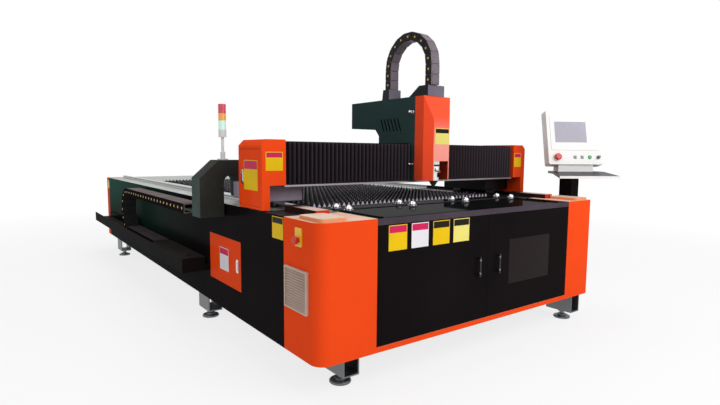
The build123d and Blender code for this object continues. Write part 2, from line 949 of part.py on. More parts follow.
def tower_pole():
    z = knee_top
    pole = None
    stack = ((tower_flange_radius, tower_flange_height), (tower_sleeve_radius, tower_sleeve_height),
             (tower_pole_radius, tower_pole_height), (tower_base_radius, tower_base_height))
    for radius, height in stack:
        piece = rod(-tower_x, tower_y, z, z + height, radius)
        pole = piece if pole is None else pole + piece
        z += height
    return pole


def tower_lenses():
    z = knee_top + tower_flange_height + tower_sleeve_height + tower_pole_height + tower_base_height
    lenses = []
    for height in tower_lens_heights:
        lens = rod(-tower_x, tower_y, z, z + height, tower_lens_radius)
        lenses.append(fillet(lens.edges().group_by(Axis.Z)[-1], tower_cap_height / 2))
        z += height
    return group(lenses)


# Carriage saddle with runner blocks behind and slide rails in front
def carriage_saddle():
    saddle = block(carriage_x0, carriage_x1, saddle_front, saddle_back, saddle_bottom, housing_bottom)
    deep = girder_front - 2 * running
    for z in (x_rail_low, x_rail_high):
        shoe = block(carriage_x0, carriage_x1, saddle_back, deep, z - x_rail_width, z + x_rail_width)
        h = x_rail_width / 2 + running
        shoe -= block(carriage_x0 - cut_over, carriage_x1 + cut_over, girder_front - x_rail_depth - running,
                      girder_front, z - h, z + h)
        saddle += shoe
    x = (carriage_x0 + carriage_x1) / 2
    for side in (-1, 1):
        rail_middle = x + side * (slide_width / 2 - slide_rail_width)
        saddle += block(rail_middle - slide_rail_width / 2, rail_middle + slide_rail_width / 2,
                        saddle_front - slide_rail_depth, saddle_front, saddle_bottom, housing_bottom)
    return saddle


# Housing over the girder with a rear arm and slanted vent slots in both sides
def carriage_housing():
    outline = [(saddle_front, housing_bottom), (saddle_front, housing_top), (arm_back, housing_top),
               (arm_back, arm_low), (arm_root_y, arm_root_z), (housing_back, arm_slant_z),
               (housing_back, housing_bottom)]
    body = along_x(outline, carriage_x0, carriage_x1)
    t = sheet
    room = [(saddle_front + t, housing_bottom - cut_over), (saddle_front + t, housing_top - t),
            (arm_back - t, housing_top - t), (arm_back - t, arm_low + t), (arm_root_y - t, arm_root_z + t),
            (housing_back - t, arm_slant_z + t), (housing_back - t, housing_bottom - cut_over)]
    body -= along_x(room, carriage_x0 + t, carriage_x1 - t)
    for i in range(slot_count):
        y = slot_centre_y + (i - (slot_count - 1) / 2) * slot_pitch
        slot = Pos((carriage_x0 + carriage_x1) / 2, y, slot_centre_z) * Rot(slot_lean, 0, 0)
        body -= slot * Box(carriage_width + 2 * cut_over, slot_width, slot_length)
    return body


bevel_offset_share = tan(pi / 8)


def cover_form(t, back, low):
    """The head cover's outer form, drawn in by t, from its back plane down to its lower edge."""
    k = t * bevel_offset_share
    side = cover_back_y - cover_side_depth
    front = side - cover_bevel
    x0, x1 = carriage_x0 + t, carriage_x1 - t
    outline = [(x0, back), (x0, side + k), (carriage_x0 + cover_bevel + k, front + t),
               (carriage_x1 - cover_bevel - k, front + t), (x1, side + k), (x1, back)]
    form = along_z(outline, low, housing_top - t)
    reach = cover_bevel
    wedge = [(front + t - reach, cover_slope_z), (front + t, cover_slope_z), (side + t, housing_top),
             (side + t, housing_top + reach), (front + t - reach, housing_top + reach)]
    return form - along_x(wedge, carriage_x0 - cut_over, carriage_x1 + cut_over)


# Bevelled head cover, open behind and below, with a window at the bottom of its front
def head_cover():
    shell = cover_form(0, cover_back_y, cover_low)
    shell -= cover_form(sheet, cover_back_y + cut_over, cover_low - cut_over)
    x0 = carriage_x0 + window_left
    front = cover_back_y - cover_side_depth - cover_bevel
    window = block(x0, x0 + window_width, front - cut_over, front + sheet + cut_over,
                   cover_low - cut_over, cover_low + window_height)
    return shell - window


# Spring plungers that hold the cover, two on each side: base, stem, ring and rounded pull
def plunger(z):
    """A plunger that sticks out from the left side of the carriage at a height."""
    def part(shares, radius):
        start, end = shares
        return rod_x(carriage_x0 - end * knob_length, carriage_x0 - start * knob_length, knob_y, z, radius)

    head = part(knob_head_shares, knob_radius)
    head = fillet(head.edges().group_by(Axis.X)[0], knob_radius / 2)
    stem = part((0, knob_head_shares[0]), knob_stem_radius)
    return stem + part(knob_base_shares, knob_radius) + part(knob_ring_shares, knob_radius) + head


def carriage_knobs():
    left = [plunger(z) for z in (knob_low, knob_high)]
    middle = Plane.YZ.offset((carriage_x0 + carriage_x1) / 2)
    return group(left + [mirror(knob, about=middle) for knob in left])


# Wedge and foot that hold the ends of the arched chain
def chain_brackets():
    top = housing_top + arch_wedge_height
    wedge = along_x([(arch_wedge_front, housing_top), (arch_wedge_back, housing_top),
                     (arch_wedge_top_back, top), (arch_wedge_front, top)], -arch_wedge_left, arch_wedge_right)
    top = housing_top + arch_foot_height
    foot = along_x([(arch_foot_front, housing_top), (arch_foot_back, housing_top),
                    (arch_foot_top_back, top), (arch_foot_front, top)], -arch_foot_left, arch_foot_right)
    return group([wedge, foot])


def arch_leg(y, z0, count):
    pitch = (arch_centre_z - z0) / count
    link = chain_link(arch_width, arch_link_height, pitch - arch_gap, arch_wall)
    x = arch_left + arch_width / 2
    return [Pos(x, y, z0 + (i + 0.5) * pitch) * Rot(90, 0, 0) * link for i in range(count)]


def arch_chain():
    back_count, front_count = arch_leg_links
    links = arch_leg(arch_back_y, housing_top + arch_foot_height, back_count)
    links += arch_leg(arch_front_y, housing_top + arch_wedge_height, front_count)
    radius = (arch_back_y - arch_front_y) / 2
    turn = 180 / arch_links_in_bend
    length = bend_link_length(radius, arch_link_height, arch_links_in_bend, arch_gap)
    link = chain_link(arch_width, arch_link_height, length, arch_wall)
    middle = (arch_back_y + arch_front_y) / 2
    centre = Pos(arch_left + arch_width / 2, middle, arch_centre_z)
    for i in range(arch_links_in_bend):
        links.append(centre * Rot((i + 0.5) * turn - 90, 0, 0) * Pos(0, 0, radius) * link)
    return group(links)


slide_back = saddle_front - slide_rail_depth - running
slide_front = slide_back - slide_thickness


def z_slide():
    x = (carriage_x0 + carriage_x1) / 2
    w = slide_width / 2
    plate = block(x - w, x + w, slide_front, slide_back, slide_low, slide_high)
    h = head_width / 3
    arm = block(head_x - h, head_x + h, head_y + head_depth / 2, slide_front, head_low + h, head_high - h)
    return plate + arm


def laser_head():
    w, d = head_width / 2, head_depth / 2
    body = block(head_x - w, head_x + w, head_y - d, head_y + d, head_low, head_high)
    body = chamfer(body.edges().filter_by(Axis.Z), head_width / 8)
    return body


def laser_nozzle():
    collar = rod(head_x, head_y, head_low - collar_height, head_low, collar_radius)
    collar = fillet(collar.edges().group_by(Axis.Z)[0], collar_height / 8)
    ring_top = head_low - collar_height
    ring = rod(head_x, head_y, ring_top - nozzle_ring_height, ring_top, nozzle_top_radius + sheet)
    cone_top = ring_top - nozzle_ring_height
    height = cone_top - nozzle_tip_z
    cone = Pos(head_x, head_y, nozzle_tip_z + height / 2) * Cone(nozzle_tip_radius, nozzle_top_radius, height)
    return collar + ring + cone


# The console is drawn square to its post and then turned, and its box leans back on its neck
console_turn = Pos(post_x, post_y, 0) * Rot(0, 0, -console_yaw)
panel_lean = Pos(0, -console_forward, console_centre_z) * Rot(-console_tilt, 0, 0)
panel_place = console_turn * panel_lean


def panel_bore(x, radius, depth):
    """A round bore into the panel face at x on the row of controls."""
    return rod_y(x, -cut_over, depth, control_z, radius)


def console_box():
    w, h = console_width / 2, console_height / 2
    body = block(-w, w, 0, console_depth, -h, h)
    body = fillet(body.edges().filter_by(Axis.Y), console_edge)
    back_edges = body.faces().sort_by(Axis.Y)[-1].edges()
    body = chamfer(back_edges, console_edge / 2)
    stop_x, left_x, right_x, start_x, key_x = control_places
    body -= panel_bore(stop_x, stop_stem_radius + running, stop_bore_depth)
    for x in (left_x, right_x):
        s = small_button + running
        body -= block(x - s, x + s, -cut_over, small_button_depth, control_z - s, control_z + s)
    body -= panel_bore(start_x, start_radius + running, start_depth)
    body -= panel_bore(key_x, key_radius + running, key_depth)
    low = console_centre_z - h
    neck = block(-neck_width / 2, neck_width / 2, -console_forward - neck_depth / 2,
                 -console_forward + neck_depth / 2, tray_back_top, low + console_edge * 2)
    return console_turn * (panel_lean * body + neck)


# Raised frame round the screen
def console_bezel():
    w = bezel_width / 2
    frame = block(-w, w, -bezel_proud, 0, -bezel_low, bezel_high)
    frame = fillet(frame.edges().filter_by(Axis.Y), bezel_line)
    sw, sh = screen_width / 2, screen_height / 2
    frame -= block(screen_x - sw, screen_x + sw, -bezel_proud - cut_over, cut_over, screen_z - sh, screen_z + sh)
    return panel_place * frame


def console_screen():
    sw, sh = screen_width / 2, screen_height / 2
    return panel_place * block(screen_x - sw, screen_x + sw, -screen_depth, 0, screen_z - sh, screen_z + sh)


def keyboard_tray():
    top, low = tray_back_top, tray_back_top - tray_thickness
    outline = [(tray_back, low), (tray_back, top), (-tray_slope_start, top), (-tray_front, top - tray_drop),
               (-tray_front, low - tray_drop), (-tray_slope_start, low)]
    w = tray_width / 2
    tray = along_x(outline, -w, w)
    corner = [(-w, -tray_front), (-tray_left_back, tray_back), (-tray_left_back, tray_back + cut_over),
              (-w - cut_over, tray_back + cut_over), (-w - cut_over, -tray_front)]
    return console_turn * (tray - along_z(corner, low - tray_drop - cut_over, top + cut_over))


def console_stop():
    return panel_place * (Pos(control_places[0], 0, control_z) * Rot(90, 0, 0) *
                          stop_button(console_stop_radius, stop_seat))


def square_button(x):
    s = small_button
    deep = small_button_depth - stop_travel
    button = block(x - s, x + s, -deep, deep - running, control_z - s, control_z + s)
    return panel_place * fillet(button.faces().sort_by(Axis.Y)[0].edges(), s / 6)


def console_button_left():
    return square_button(control_places[1])


def console_button_right():
    return square_button(control_places[2])


def console_start():
    deep = start_depth - stop_travel
    button = rod_y(control_places[3], -start_depth / 2, deep - running, control_z, start_radius)
    return panel_place * fillet(button.edges().group_by(Axis.Y)[0], start_radius / 5)


def console_key():
    x = control_places[4]
    barrel = rod_y(x, -key_depth, key_depth - running, control_z, key_radius)
    b, h = key_blade / 2, key_blade_height / 2
    blade = block(x - b, x + b, -key_depth - key_blade_height / 2, -key_depth, control_z - h, control_z + h)
    return panel_place * (barrel + blade)


def door_handle_left():
    return door_handle(door_seam - handle_offset)


def door_handle_right():
    return door_handle(door_seam + handle_offset)


makers = (
    bed_frame, side_beams, guide_rails, rail_end_caps, side_panels, rear_panel, front_surround, rear_corners,
    front_apron, rear_deck, cutting_slats, slag_pan, ball_transfers, foot_brackets, levelling_feet,
    vent_grille, stop_plate, side_stop, chain_tray, y_chain_upper, y_chain_lower, y_chain_bend, console_post,
    front_door_left, front_door_right, door_handle_left, door_handle_right, access_door, access_lock,
    gantry_girder, gantry_bases, gantry_runners, gantry_covers, hatch, hatch_lock,
    gantry_servos, bellows_left, bellows_right, bellows_strip, knee_bracket, tower_pole, tower_lenses,
    carriage_saddle, carriage_housing, head_cover, carriage_knobs, chain_brackets, arch_chain,
    z_slide, laser_head, laser_nozzle,
    console_box, console_bezel, console_screen, keyboard_tray, console_stop, console_button_left,
    console_button_right, console_start, console_key,
)

nodes = {maker.__name__: maker() for maker in makers}

# The part's origin is on the floor, under the middle of its overall box
boxes = [shape.bounding_box() for shape in nodes.values()]
middle_x = (min(b.min.X for b in boxes) + max(b.max.X for b in boxes)) / 2
middle_y = (min(b.min.Y for b in boxes) + max(b.max.Y for b in boxes)) / 2
to_origin = Pos(-middle_x, -middle_y, 0)

for name, shape in nodes.items():
    export_step(to_origin * shape, f"parts/{name}.step")
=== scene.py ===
"""Looks for the laser cutting machine: materials, small fittings, stage, light and camera.

Lengths are in metres, as in the frame. Tables of places are in millimetres from the middle of the bed's
front edge on the floor, and at() turns them into the frame."""
import math

import bmesh
import bpy
from mathutils import Matrix, Vector


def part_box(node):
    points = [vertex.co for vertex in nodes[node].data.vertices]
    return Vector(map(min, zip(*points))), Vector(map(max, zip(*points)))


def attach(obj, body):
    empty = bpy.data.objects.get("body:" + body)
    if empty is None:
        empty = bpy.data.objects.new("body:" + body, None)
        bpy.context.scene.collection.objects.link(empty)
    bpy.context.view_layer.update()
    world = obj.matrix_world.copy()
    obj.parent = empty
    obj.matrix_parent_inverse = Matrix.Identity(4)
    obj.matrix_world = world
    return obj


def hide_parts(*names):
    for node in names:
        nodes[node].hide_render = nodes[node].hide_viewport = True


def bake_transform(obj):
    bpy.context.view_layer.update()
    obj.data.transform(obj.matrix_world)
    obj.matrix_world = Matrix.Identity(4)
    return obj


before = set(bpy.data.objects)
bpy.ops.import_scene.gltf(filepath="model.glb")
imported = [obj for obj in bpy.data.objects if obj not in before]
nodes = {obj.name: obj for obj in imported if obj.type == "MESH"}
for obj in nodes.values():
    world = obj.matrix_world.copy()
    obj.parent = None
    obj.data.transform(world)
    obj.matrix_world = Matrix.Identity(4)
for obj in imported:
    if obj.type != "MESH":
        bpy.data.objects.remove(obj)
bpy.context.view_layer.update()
MM = 0.001
WELD = 1e-6

rail_lo, rail_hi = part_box("guide_rails")
middle_x = (rail_lo.x + rail_hi.x) / 2
front_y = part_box("front_surround")[0].y


def at(x, y, z):
    """A place in the frame from one in millimetres."""
    return Vector((middle_x + x * MM, front_y + y * MM, z * MM))


# Materials

NOISE_ROUGHNESS = 0.55
PAINT_GRAIN = 900.0
PAINT_DEPTH = 0.12 * MM
SPECK_SCALE = 0.35 * PAINT_GRAIN
FINE_DEPTH = 0.08 * MM
LINE_DEPTH = 0.2 * MM
RIB_DEPTH = 0.6 * MM

# Least cosines of faces that look roughly, mostly and squarely along an axis
ROUGHLY = 0.6
MOSTLY = 0.7
SQUARELY = 0.9

# Fine lines in steel, and the stretches of the noise that lay them along an axis
LINE_SCALE = 40.0
LINE_DETAIL = 6.0
ALONG_X = (1.0, 60.0, 60.0)
ALONG_Y = (60.0, 1.0, 60.0)

# Places of the Mix node's sockets when it mixes colours
MIX_FACTOR = 0
MIX_A = 6
MIX_B = 7
MIX_RESULT = 2


def srgb(r, g, b):
    """A linear colour from display values of 0 to 255."""
    def lin(v):
        v /= 255
        return v / 12.92 if v <= 0.04045 else ((v + 0.055) / 1.055) ** 2.4
    return (lin(r), lin(g), lin(b), 1.0)


class Look:
    """A principled material with a short way to add and join nodes."""

    def __init__(self, name, rough, metal=0.0, **sockets):
        self.name = name
        self.mat = bpy.data.materials.new(name + "_look")
        self.mat.use_nodes = True
        self.tree = self.mat.node_tree
        self.shader = self.tree.nodes["Principled BSDF"]
        self.set("Roughness", rough)
        self.set("Metallic", metal)
        for socket, value in sockets.items():
            self.set(socket.replace("_", " "), value)
        self.place = self.add("ShaderNodeTexCoord").outputs["Object"]

    def set(self, socket, value):
        self.shader.inputs[socket].default_value = value

    def feed(self, socket, value):
        """Joins another node's output to a socket, or sets the socket to a plain value."""
        if isinstance(value, bpy.types.NodeSocket):
            self.tree.links.new(value, socket)
        else:
            socket.default_value = value

    def add(self, kind, inputs=None, **props):
        node = self.tree.nodes.new(kind)
        for key, value in props.items():
            setattr(node, key, value)
        for key, value in (inputs or {}).items():
            self.feed(node.inputs[key], value)
        return node

    def link(self, source, socket):
        self.tree.links.new(source, self.shader.inputs[socket])

    def noise(self, scale, detail, stretch=None):
        vector = self.place
        if stretch:
            mapping = self.add("ShaderNodeMapping", {"Vector": vector, "Scale": stretch})
            vector = mapping.outputs["Vector"]
        inputs = {"Vector": vector, "Scale": scale, "Detail": detail, "Roughness": NOISE_ROUGHNESS}
        return self.add("ShaderNodeTexNoise", inputs).outputs["Fac"]

    def tones(self, fac, dark, pale, low=0.3, high=0.7):
        """A smooth run from one colour to another over the middle of a noise."""
        node = self.add("ShaderNodeValToRGB", {"Fac": fac})
        node.color_ramp.interpolation = "EASE"
        for point, where, colour in zip(node.color_ramp.elements, (low, high), (dark, pale)):
            point.position = where
            point.color = colour
        return node.outputs["Color"]

    def spread(self, fac, low, high, out_low, out_high):
        inputs = {"Value": fac, "From Min": low, "From Max": high, "To Min": out_low, "To Max": out_high}
        return self.add("ShaderNodeMapRange", inputs).outputs["Result"]

    def mix(self, fac, a, b):
        node = self.add("ShaderNodeMix", data_type="RGBA")
        self.feed(node.inputs[MIX_FACTOR], fac)
        self.feed(node.inputs[MIX_A], a)
        self.feed(node.inputs[MIX_B], b)
        return node.outputs[MIX_RESULT]

    def maths(self, kind, a, b=0.0):
        node = self.add("ShaderNodeMath", operation=kind)
        self.feed(node.inputs[0], a)
        self.feed(node.inputs[1], b)
        return node.outputs[0]

    def axis(self, name):
        return self.add("ShaderNodeSeparateXYZ", {"Vector": self.place}).outputs[name]

    def facing(self, name):
        normal = self.add("ShaderNodeNewGeometry").outputs["Normal"]
        return self.add("ShaderNodeSeparateXYZ", {"Vector": normal}).outputs[name]

    def overlay(self, fac, colour):
        """Lays a colour over the base colour made so far."""
        tone = self.shader.inputs["Base Color"].links[0].from_socket
        self.link(self.mix(fac, tone, colour), "Base Color")

    def gloss(self, fac, low, high, smooth, dull):
        """Uneven roughness over the middle of a noise."""
        self.link(self.spread(fac, low, high, smooth, dull), "Roughness")

    def bump(self, height, strength, distance):
        inputs = {"Height": height, "Strength": strength, "Distance": distance}
        self.link(self.add("ShaderNodeBump", inputs).outputs["Normal"], "Normal")


def shade(colour, factor):
    """A colour made darker or paler."""
    return tuple(min(1.0, c * factor) for c in colour[:3]) + (1.0,)


def around(colour, vary):
    """A darker and a paler tone of a colour."""
    return shade(colour, 1 - vary), shade(colour, 1 + vary)


def coat(weight, rough):
    """Sockets for a thin gloss over a base that doesn't mirror the surroundings itself."""
    return {"Specular_IOR_Level": 0.0, "Coat_Weight": weight, "Coat_Roughness": rough}


ORANGE = srgb(243, 76, 26)
HEAD_ORANGE = srgb(252, 82, 46)
# Pale pink of the painted reflection on the front of the head
REFLECTION_PINK = srgb(255, 200, 188)
BLACK = srgb(21, 17, 18)
GREEN_BLACK = srgb(42, 66, 64)
# Cream tone of the painted glare on faces that look up
GLARE_CREAM = srgb(222, 200, 180)
WHITE = srgb(236, 234, 232)
LINK_BLACK = srgb(28, 26, 29)


def paint(name, colour, rough, vary, top_glare=0.0, strength=0.25, **sockets):
    """Powder coat: a slow drift of tone, a fine peel, uneven gloss, and a painted cream glare on faces
    that look up.
    """
    look = Look(name, rough, **sockets)
    tone = look.tones(look.noise(1.7, 5.0), *around(colour, vary))
    specks = look.spread(look.noise(SPECK_SCALE, 2.0), 0.62, 0.8, 0.0, 0.12)
    tone = look.mix(specks, tone, shade(colour, 1.6))
    # Painted glare: faces that look up turn cream, as if lit from above
    if top_glare:
        up = look.spread(look.facing("Z"), 0.75, 0.98, 0.0, 1.0)
        patch = look.spread(look.noise(3.1, 4.0), 0.3, 0.7, 0.7 * top_glare, 1.2 * top_glare)
        tone = look.mix(look.maths("MULTIPLY", up, patch), tone, GLARE_CREAM)
    look.link(tone, "Base Color")
    look.gloss(look.noise(7.0, 6.0), 0.25, 0.75, rough * 0.82, rough * 1.22)
    look.bump(look.noise(PAINT_GRAIN, 2.0), strength, PAINT_DEPTH)
    return look


def steel(name, colour, rough, stretch, vary=0.18):
    """Ground or brushed steel with fine lines along one axis."""
    look = Look(name, rough, 1.0)
    lines = look.noise(LINE_SCALE, LINE_DETAIL, stretch)
    look.link(look.tones(lines, *around(colour, vary), 0.25, 0.75), "Base Color")
    look.gloss(lines, 0.2, 0.8, rough * 0.7, rough * 1.35)
    look.bump(lines, 0.15, LINE_DEPTH)
    return look


def plastic(name, colour, rough, vary=0.06, grain=1400.0, strength=0.12, **sockets):
    """Moulded plastic with a fine spark texture."""
    look = Look(name, rough, **sockets)
    look.link(look.tones(look.noise(5.0, 4.0), *around(colour, vary)), "Base Color")
    look.gloss(look.noise(11.0, 5.0), 0.3, 0.7, rough * 0.85, rough * 1.2)
    look.bump(look.noise(grain, 2.0), strength, FINE_DEPTH)
    return look


def lit_and_shaded(name, side, other, axis, sign, rough, **sockets):
    """A dark coat with painted light: paler on faces towards one direction, or across it when sign is
    zero, as lit faces beside shaded ones.
    """
    look = Look(name, rough, **sockets)
    facing = look.facing(axis)
    # Painted light: the faces picked here get the paler colour, the rest the darker
    if sign:
        lit_faces = look.maths("GREATER_THAN", look.maths("MULTIPLY", facing, float(sign)), MOSTLY)
    else:
        lit_faces = look.maths("LESS_THAN", look.maths("ABSOLUTE", facing), ROUGHLY)
    drift = look.noise(6.0, 5.0)
    pale = look.tones(drift, shade(side, 0.86), shade(side, 1.12))
    dark = look.tones(drift, shade(other, 0.86), shade(other, 1.12))
    look.link(look.mix(lit_faces, dark, pale), "Base Color")
    look.gloss(look.noise(9.0, 5.0), 0.3, 0.7, rough * 0.85, rough * 1.2)
    look.bump(look.noise(1100.0, 2.0), 0.18, 0.1 * MM)
    return look


# How far back the beams and rails are dark, on the left and on the right; on the right, the dark past
# the front end is a painted shadow under the gantry
FRONT_PLATE_END = 600 * MM
RIGHT_SHADOW_END = 1500 * MM

# Where the rail caps start, and where the painted pale reflection on their tops ends
CAP_FRONT = 232 * MM
CAP_GLARE_FULL = CAP_FRONT + 160 * MM
CAP_GLARE_END = CAP_FRONT + 260 * MM
CAP_GLARE_WAVER = 30 * MM

# Where the painted green reflection on the side panels starts and ends, along and up
GREEN_SHEEN_START = 1600 * MM
GREEN_SHEEN_END = 4700 * MM
GREEN_SHEEN_LOW = 400 * MM
GREEN_SHEEN_HIGH = 800 * MM

# Heights between which the painted reflection on the front of the head fades out
REFLECTION_LOW = 1246 * MM
REFLECTION_HIGH = 1430 * MM

CREST_DEPTH = 16 * MM
TIP_DEPTH = 18 * MM
# Depth from the front of the slats that get painted light
LIT_SLATS_END = 690 * MM
LOW_LENS = 58 * MM
MIDDLE_LENS = 44 * MM
LENS_RIBS = 60.0
LENS_GLOW = 0.1


def front_plate_and_shadow(look):
    """Where the beams and rails are dark: dark paint at the front end, and a painted shadow as far as
    the gantry on the right.
    """
    # On the right the dark reaches back under the gantry as a painted shadow
    right = look.maths("GREATER_THAN", look.axis("X"), middle_x)
    reach = look.spread(right, 0.0, 1.0, FRONT_PLATE_END, RIGHT_SHADOW_END)
    return look.maths("LESS_THAN", look.maths("SUBTRACT", look.axis("Y"), front_y), reach)


def beam_look():
    """Pale machined beams, with dark gloss paint where they carry the front end, and a painted shadow on
    the right one as far as the gantry.
    """
    look = Look("beam_coat", 0.36, Specular_IOR_Level=0.4)
    pale = look.tones(look.noise(2.4, 5.0), srgb(142, 148, 142), srgb(164, 169, 162))
    look.link(look.mix(front_plate_and_shadow(look), pale, srgb(24, 18, 20)), "Base Color")
    look.gloss(look.noise(9.0, 5.0), 0.3, 0.7, 0.26, 0.42)
    look.bump(look.noise(220.0, 3.0, (1.0, 0.06, 1.0)), 0.1, LINE_DEPTH)
    return look


def base_look():
    """Grey gloss coat on the left base, near black on the right one."""
    look = Look("base_coat", 0.36, Specular_IOR_Level=0.1)
    grey = look.tones(look.noise(2.2, 5.0), srgb(136, 124, 138), srgb(164, 151, 166))
    right = look.maths("GREATER_THAN", look.axis("X"), middle_x)
    look.link(look.mix(right, grey, srgb(24, 20, 22)), "Base Color")
    look.gloss(look.noise(8.0, 5.0), 0.3, 0.7, 0.28, 0.44)
    look.bump(look.noise(PAINT_GRAIN, 2.0), 0.2, PAINT_DEPTH)
    return look


def rail_look():
    """Ground rail, painted dark where it runs under the front caps, with a painted shadow on the right
    one as far as the gantry.
    """
    look = Look("rail_steel", 0.28, 1.0)
    lines = look.noise(LINE_SCALE, LINE_DETAIL, ALONG_Y)
    bright = look.tones(lines, srgb(154, 156, 156), srgb(186, 188, 188), 0.25, 0.75)
    look.link(look.mix(front_plate_and_shadow(look), bright, srgb(30, 22, 22)), "Base Color")
    look.gloss(lines, 0.2, 0.8, 0.2, 0.38)
    look.bump(lines, 0.15, LINE_DEPTH)
    return look


def cap_look():
    """Dark gloss caps with a red front edge and a painted pale reflection on the tops in front, and
    orange plates on the corners with a painted cream glare on their tops.
    """
    look = Look("cap_coat", 0.3, **coat(0.1, 0.06))
    drift = look.noise(3.0, 4.0)
    dark = look.tones(drift, srgb(38, 24, 24), srgb(58, 36, 34))
    along = look.maths("SUBTRACT", look.axis("Y"), front_y)
    waver = look.spread(drift, 0.3, 0.7, -CAP_GLARE_WAVER, CAP_GLARE_WAVER)
    ahead = look.spread(look.maths("ADD", along, waver), CAP_GLARE_FULL, CAP_GLARE_END, 1.0, 0.0)
    up = look.maths("GREATER_THAN", look.facing("Z"), MOSTLY)
    front = look.maths("LESS_THAN", look.facing("Y"), -MOSTLY)
    # Painted reflection: the tops turn pale pink towards the front
    tone = look.mix(look.maths("MULTIPLY", up, ahead), dark, srgb(206, 180, 170))
    tone = look.mix(front, tone, srgb(206, 58, 30))
    # Painted glare: the tops of the corner plates turn cream
    plate = look.mix(up, srgb(238, 156, 108), GLARE_CREAM)
    look.link(look.mix(look.maths("LESS_THAN", along, CAP_FRONT - 1 * MM), tone, plate), "Base Color")
    look.bump(look.noise(PAINT_GRAIN, 2.0), 0.2, PAINT_DEPTH)
    return look


def panel_look():
    """Black coat with a painted green reflection towards the top of the back."""
    look = paint("panel_coat", BLACK, 0.4, 0.16, **coat(0.04, 0.22))
    # Painted reflection: a green tint over the black towards the top of the back
    back = look.spread(look.axis("Y"), front_y + GREEN_SHEEN_START, front_y + GREEN_SHEEN_END, 0.0, 1.0)
    high = look.spread(look.axis("Z"), GREEN_SHEEN_LOW, GREEN_SHEEN_HIGH, 0.25, 1.0)
    look.overlay(look.maths("MULTIPLY", back, high), srgb(38, 84, 72))
    return look


def head_look():
    """Orange coat with a painted pale pink reflection on the front, strongest towards the opening for
    the laser head.
    """
    # Painted cream glare on the tops
    look = paint("head_coat", HEAD_ORANGE, 0.3, 0.04, top_glare=0.45, **coat(0.05, 0.08))
    # Painted reflection: the front face turns pale pink towards the opening below
    front = look.maths("LESS_THAN", look.facing("Y"), -SQUARELY)
    reflection_share = look.spread(look.axis("Z"), REFLECTION_LOW, REFLECTION_HIGH, 0.56, 0.03)
    look.overlay(look.maths("MULTIPLY", front, reflection_share), REFLECTION_PINK)
    return look


def bellows_look():
    """Coated cloth with a painted highlight along the crests of the pleats."""
    look = Look("bellows_cloth", 0.6, Specular_IOR_Level=0.2)
    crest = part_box("bellows_left")[0].y
    # Painted highlight: the crests of the pleats paler than the folds
    highlit = look.spread(look.axis("Y"), crest, crest + CREST_DEPTH, 1.0, 0.0)
    cloth = look.tones(look.noise(5.0, 4.0), srgb(26, 22, 25), srgb(34, 29, 33))
    look.link(look.mix(highlit, cloth, srgb(74, 64, 72)), "Base Color")
    look.bump(look.noise(1800.0, 2.0), 0.3, FINE_DEPTH)
    return look


def tray_look():
    """White coat on the front edge and below, and a dark mat over the top and sides."""
    look = Look("tray_coat", 0.42, Specular_IOR_Level=0.3)
    front = look.maths("LESS_THAN", look.facing("Y"), -ROUGHLY)
    below = look.maths("LESS_THAN", look.facing("Z"), -ROUGHLY)
    mat = look.tones(look.noise(60.0, 4.0), srgb(30, 29, 36), srgb(46, 44, 54))
    look.link(look.mix(look.maths("MAXIMUM", front, below), mat, WHITE), "Base Color")
    look.bump(look.noise(700.0, 2.0), 0.2, LINE_DEPTH)
    return look


def slat_look():
    """Cut plate: dark and scaled, with pale tips that are partly bright burnt metal and partly a painted
    highlight, and painted light on the front slats.
    """
    look = Look("slat_plate", 0.45, 0.35, Specular_IOR_Level=0.3)
    scale = look.noise(22.0, 6.0)
    dark = look.tones(scale, srgb(20, 18, 22), srgb(42, 39, 44))
    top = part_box("cutting_slats")[1].z
    # Tips paler towards the top: partly bright burnt metal, partly a painted highlight
    tip = look.spread(look.axis("Z"), top - TIP_DEPTH, top, 0.0, 0.6)
    highlit = look.mix(tip, dark, srgb(176, 170, 178))
    # Painted light: the front row of slats pale, the rows behind dark
    lit_front_row = look.maths("LESS_THAN", look.axis("Y"), front_y + LIT_SLATS_END)
    look.link(look.mix(lit_front_row, highlit, srgb(206, 198, 212)), "Base Color")
    look.gloss(scale, 0.25, 0.75, 0.3, 0.6)
    look.bump(scale, 0.3, RIB_DEPTH)
    return look


def lens_look():
    """Three tinted and ribbed lenses that glow a little, split by height."""
    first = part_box("tower_lenses")[0].z + LOW_LENS
    second = first + MIDDLE_LENS
    look = Look("tower_lens", 0.16)
    z = look.axis("Z")
    wave = look.add("ShaderNodeTexWave", {"Vector": look.place, "Scale": LENS_RIBS}, bands_direction="Z")
    ribs = wave.outputs["Fac"]
    upper = look.maths("GREATER_THAN", z, second)
    lower = look.maths("LESS_THAN", z, first)
    colour = look.mix(upper, srgb(240, 158, 34), srgb(204, 34, 66))
    colour = look.mix(lower, colour, srgb(206, 250, 232))
    look.link(look.mix(look.maths("MULTIPLY", ribs, 0.1), colour, srgb(255, 255, 255)), "Base Color")
    look.link(colour, "Emission Color")
    look.set("Emission Strength", LENS_GLOW)
    look.bump(ribs, 0.25, RIB_DEPTH)
    return look


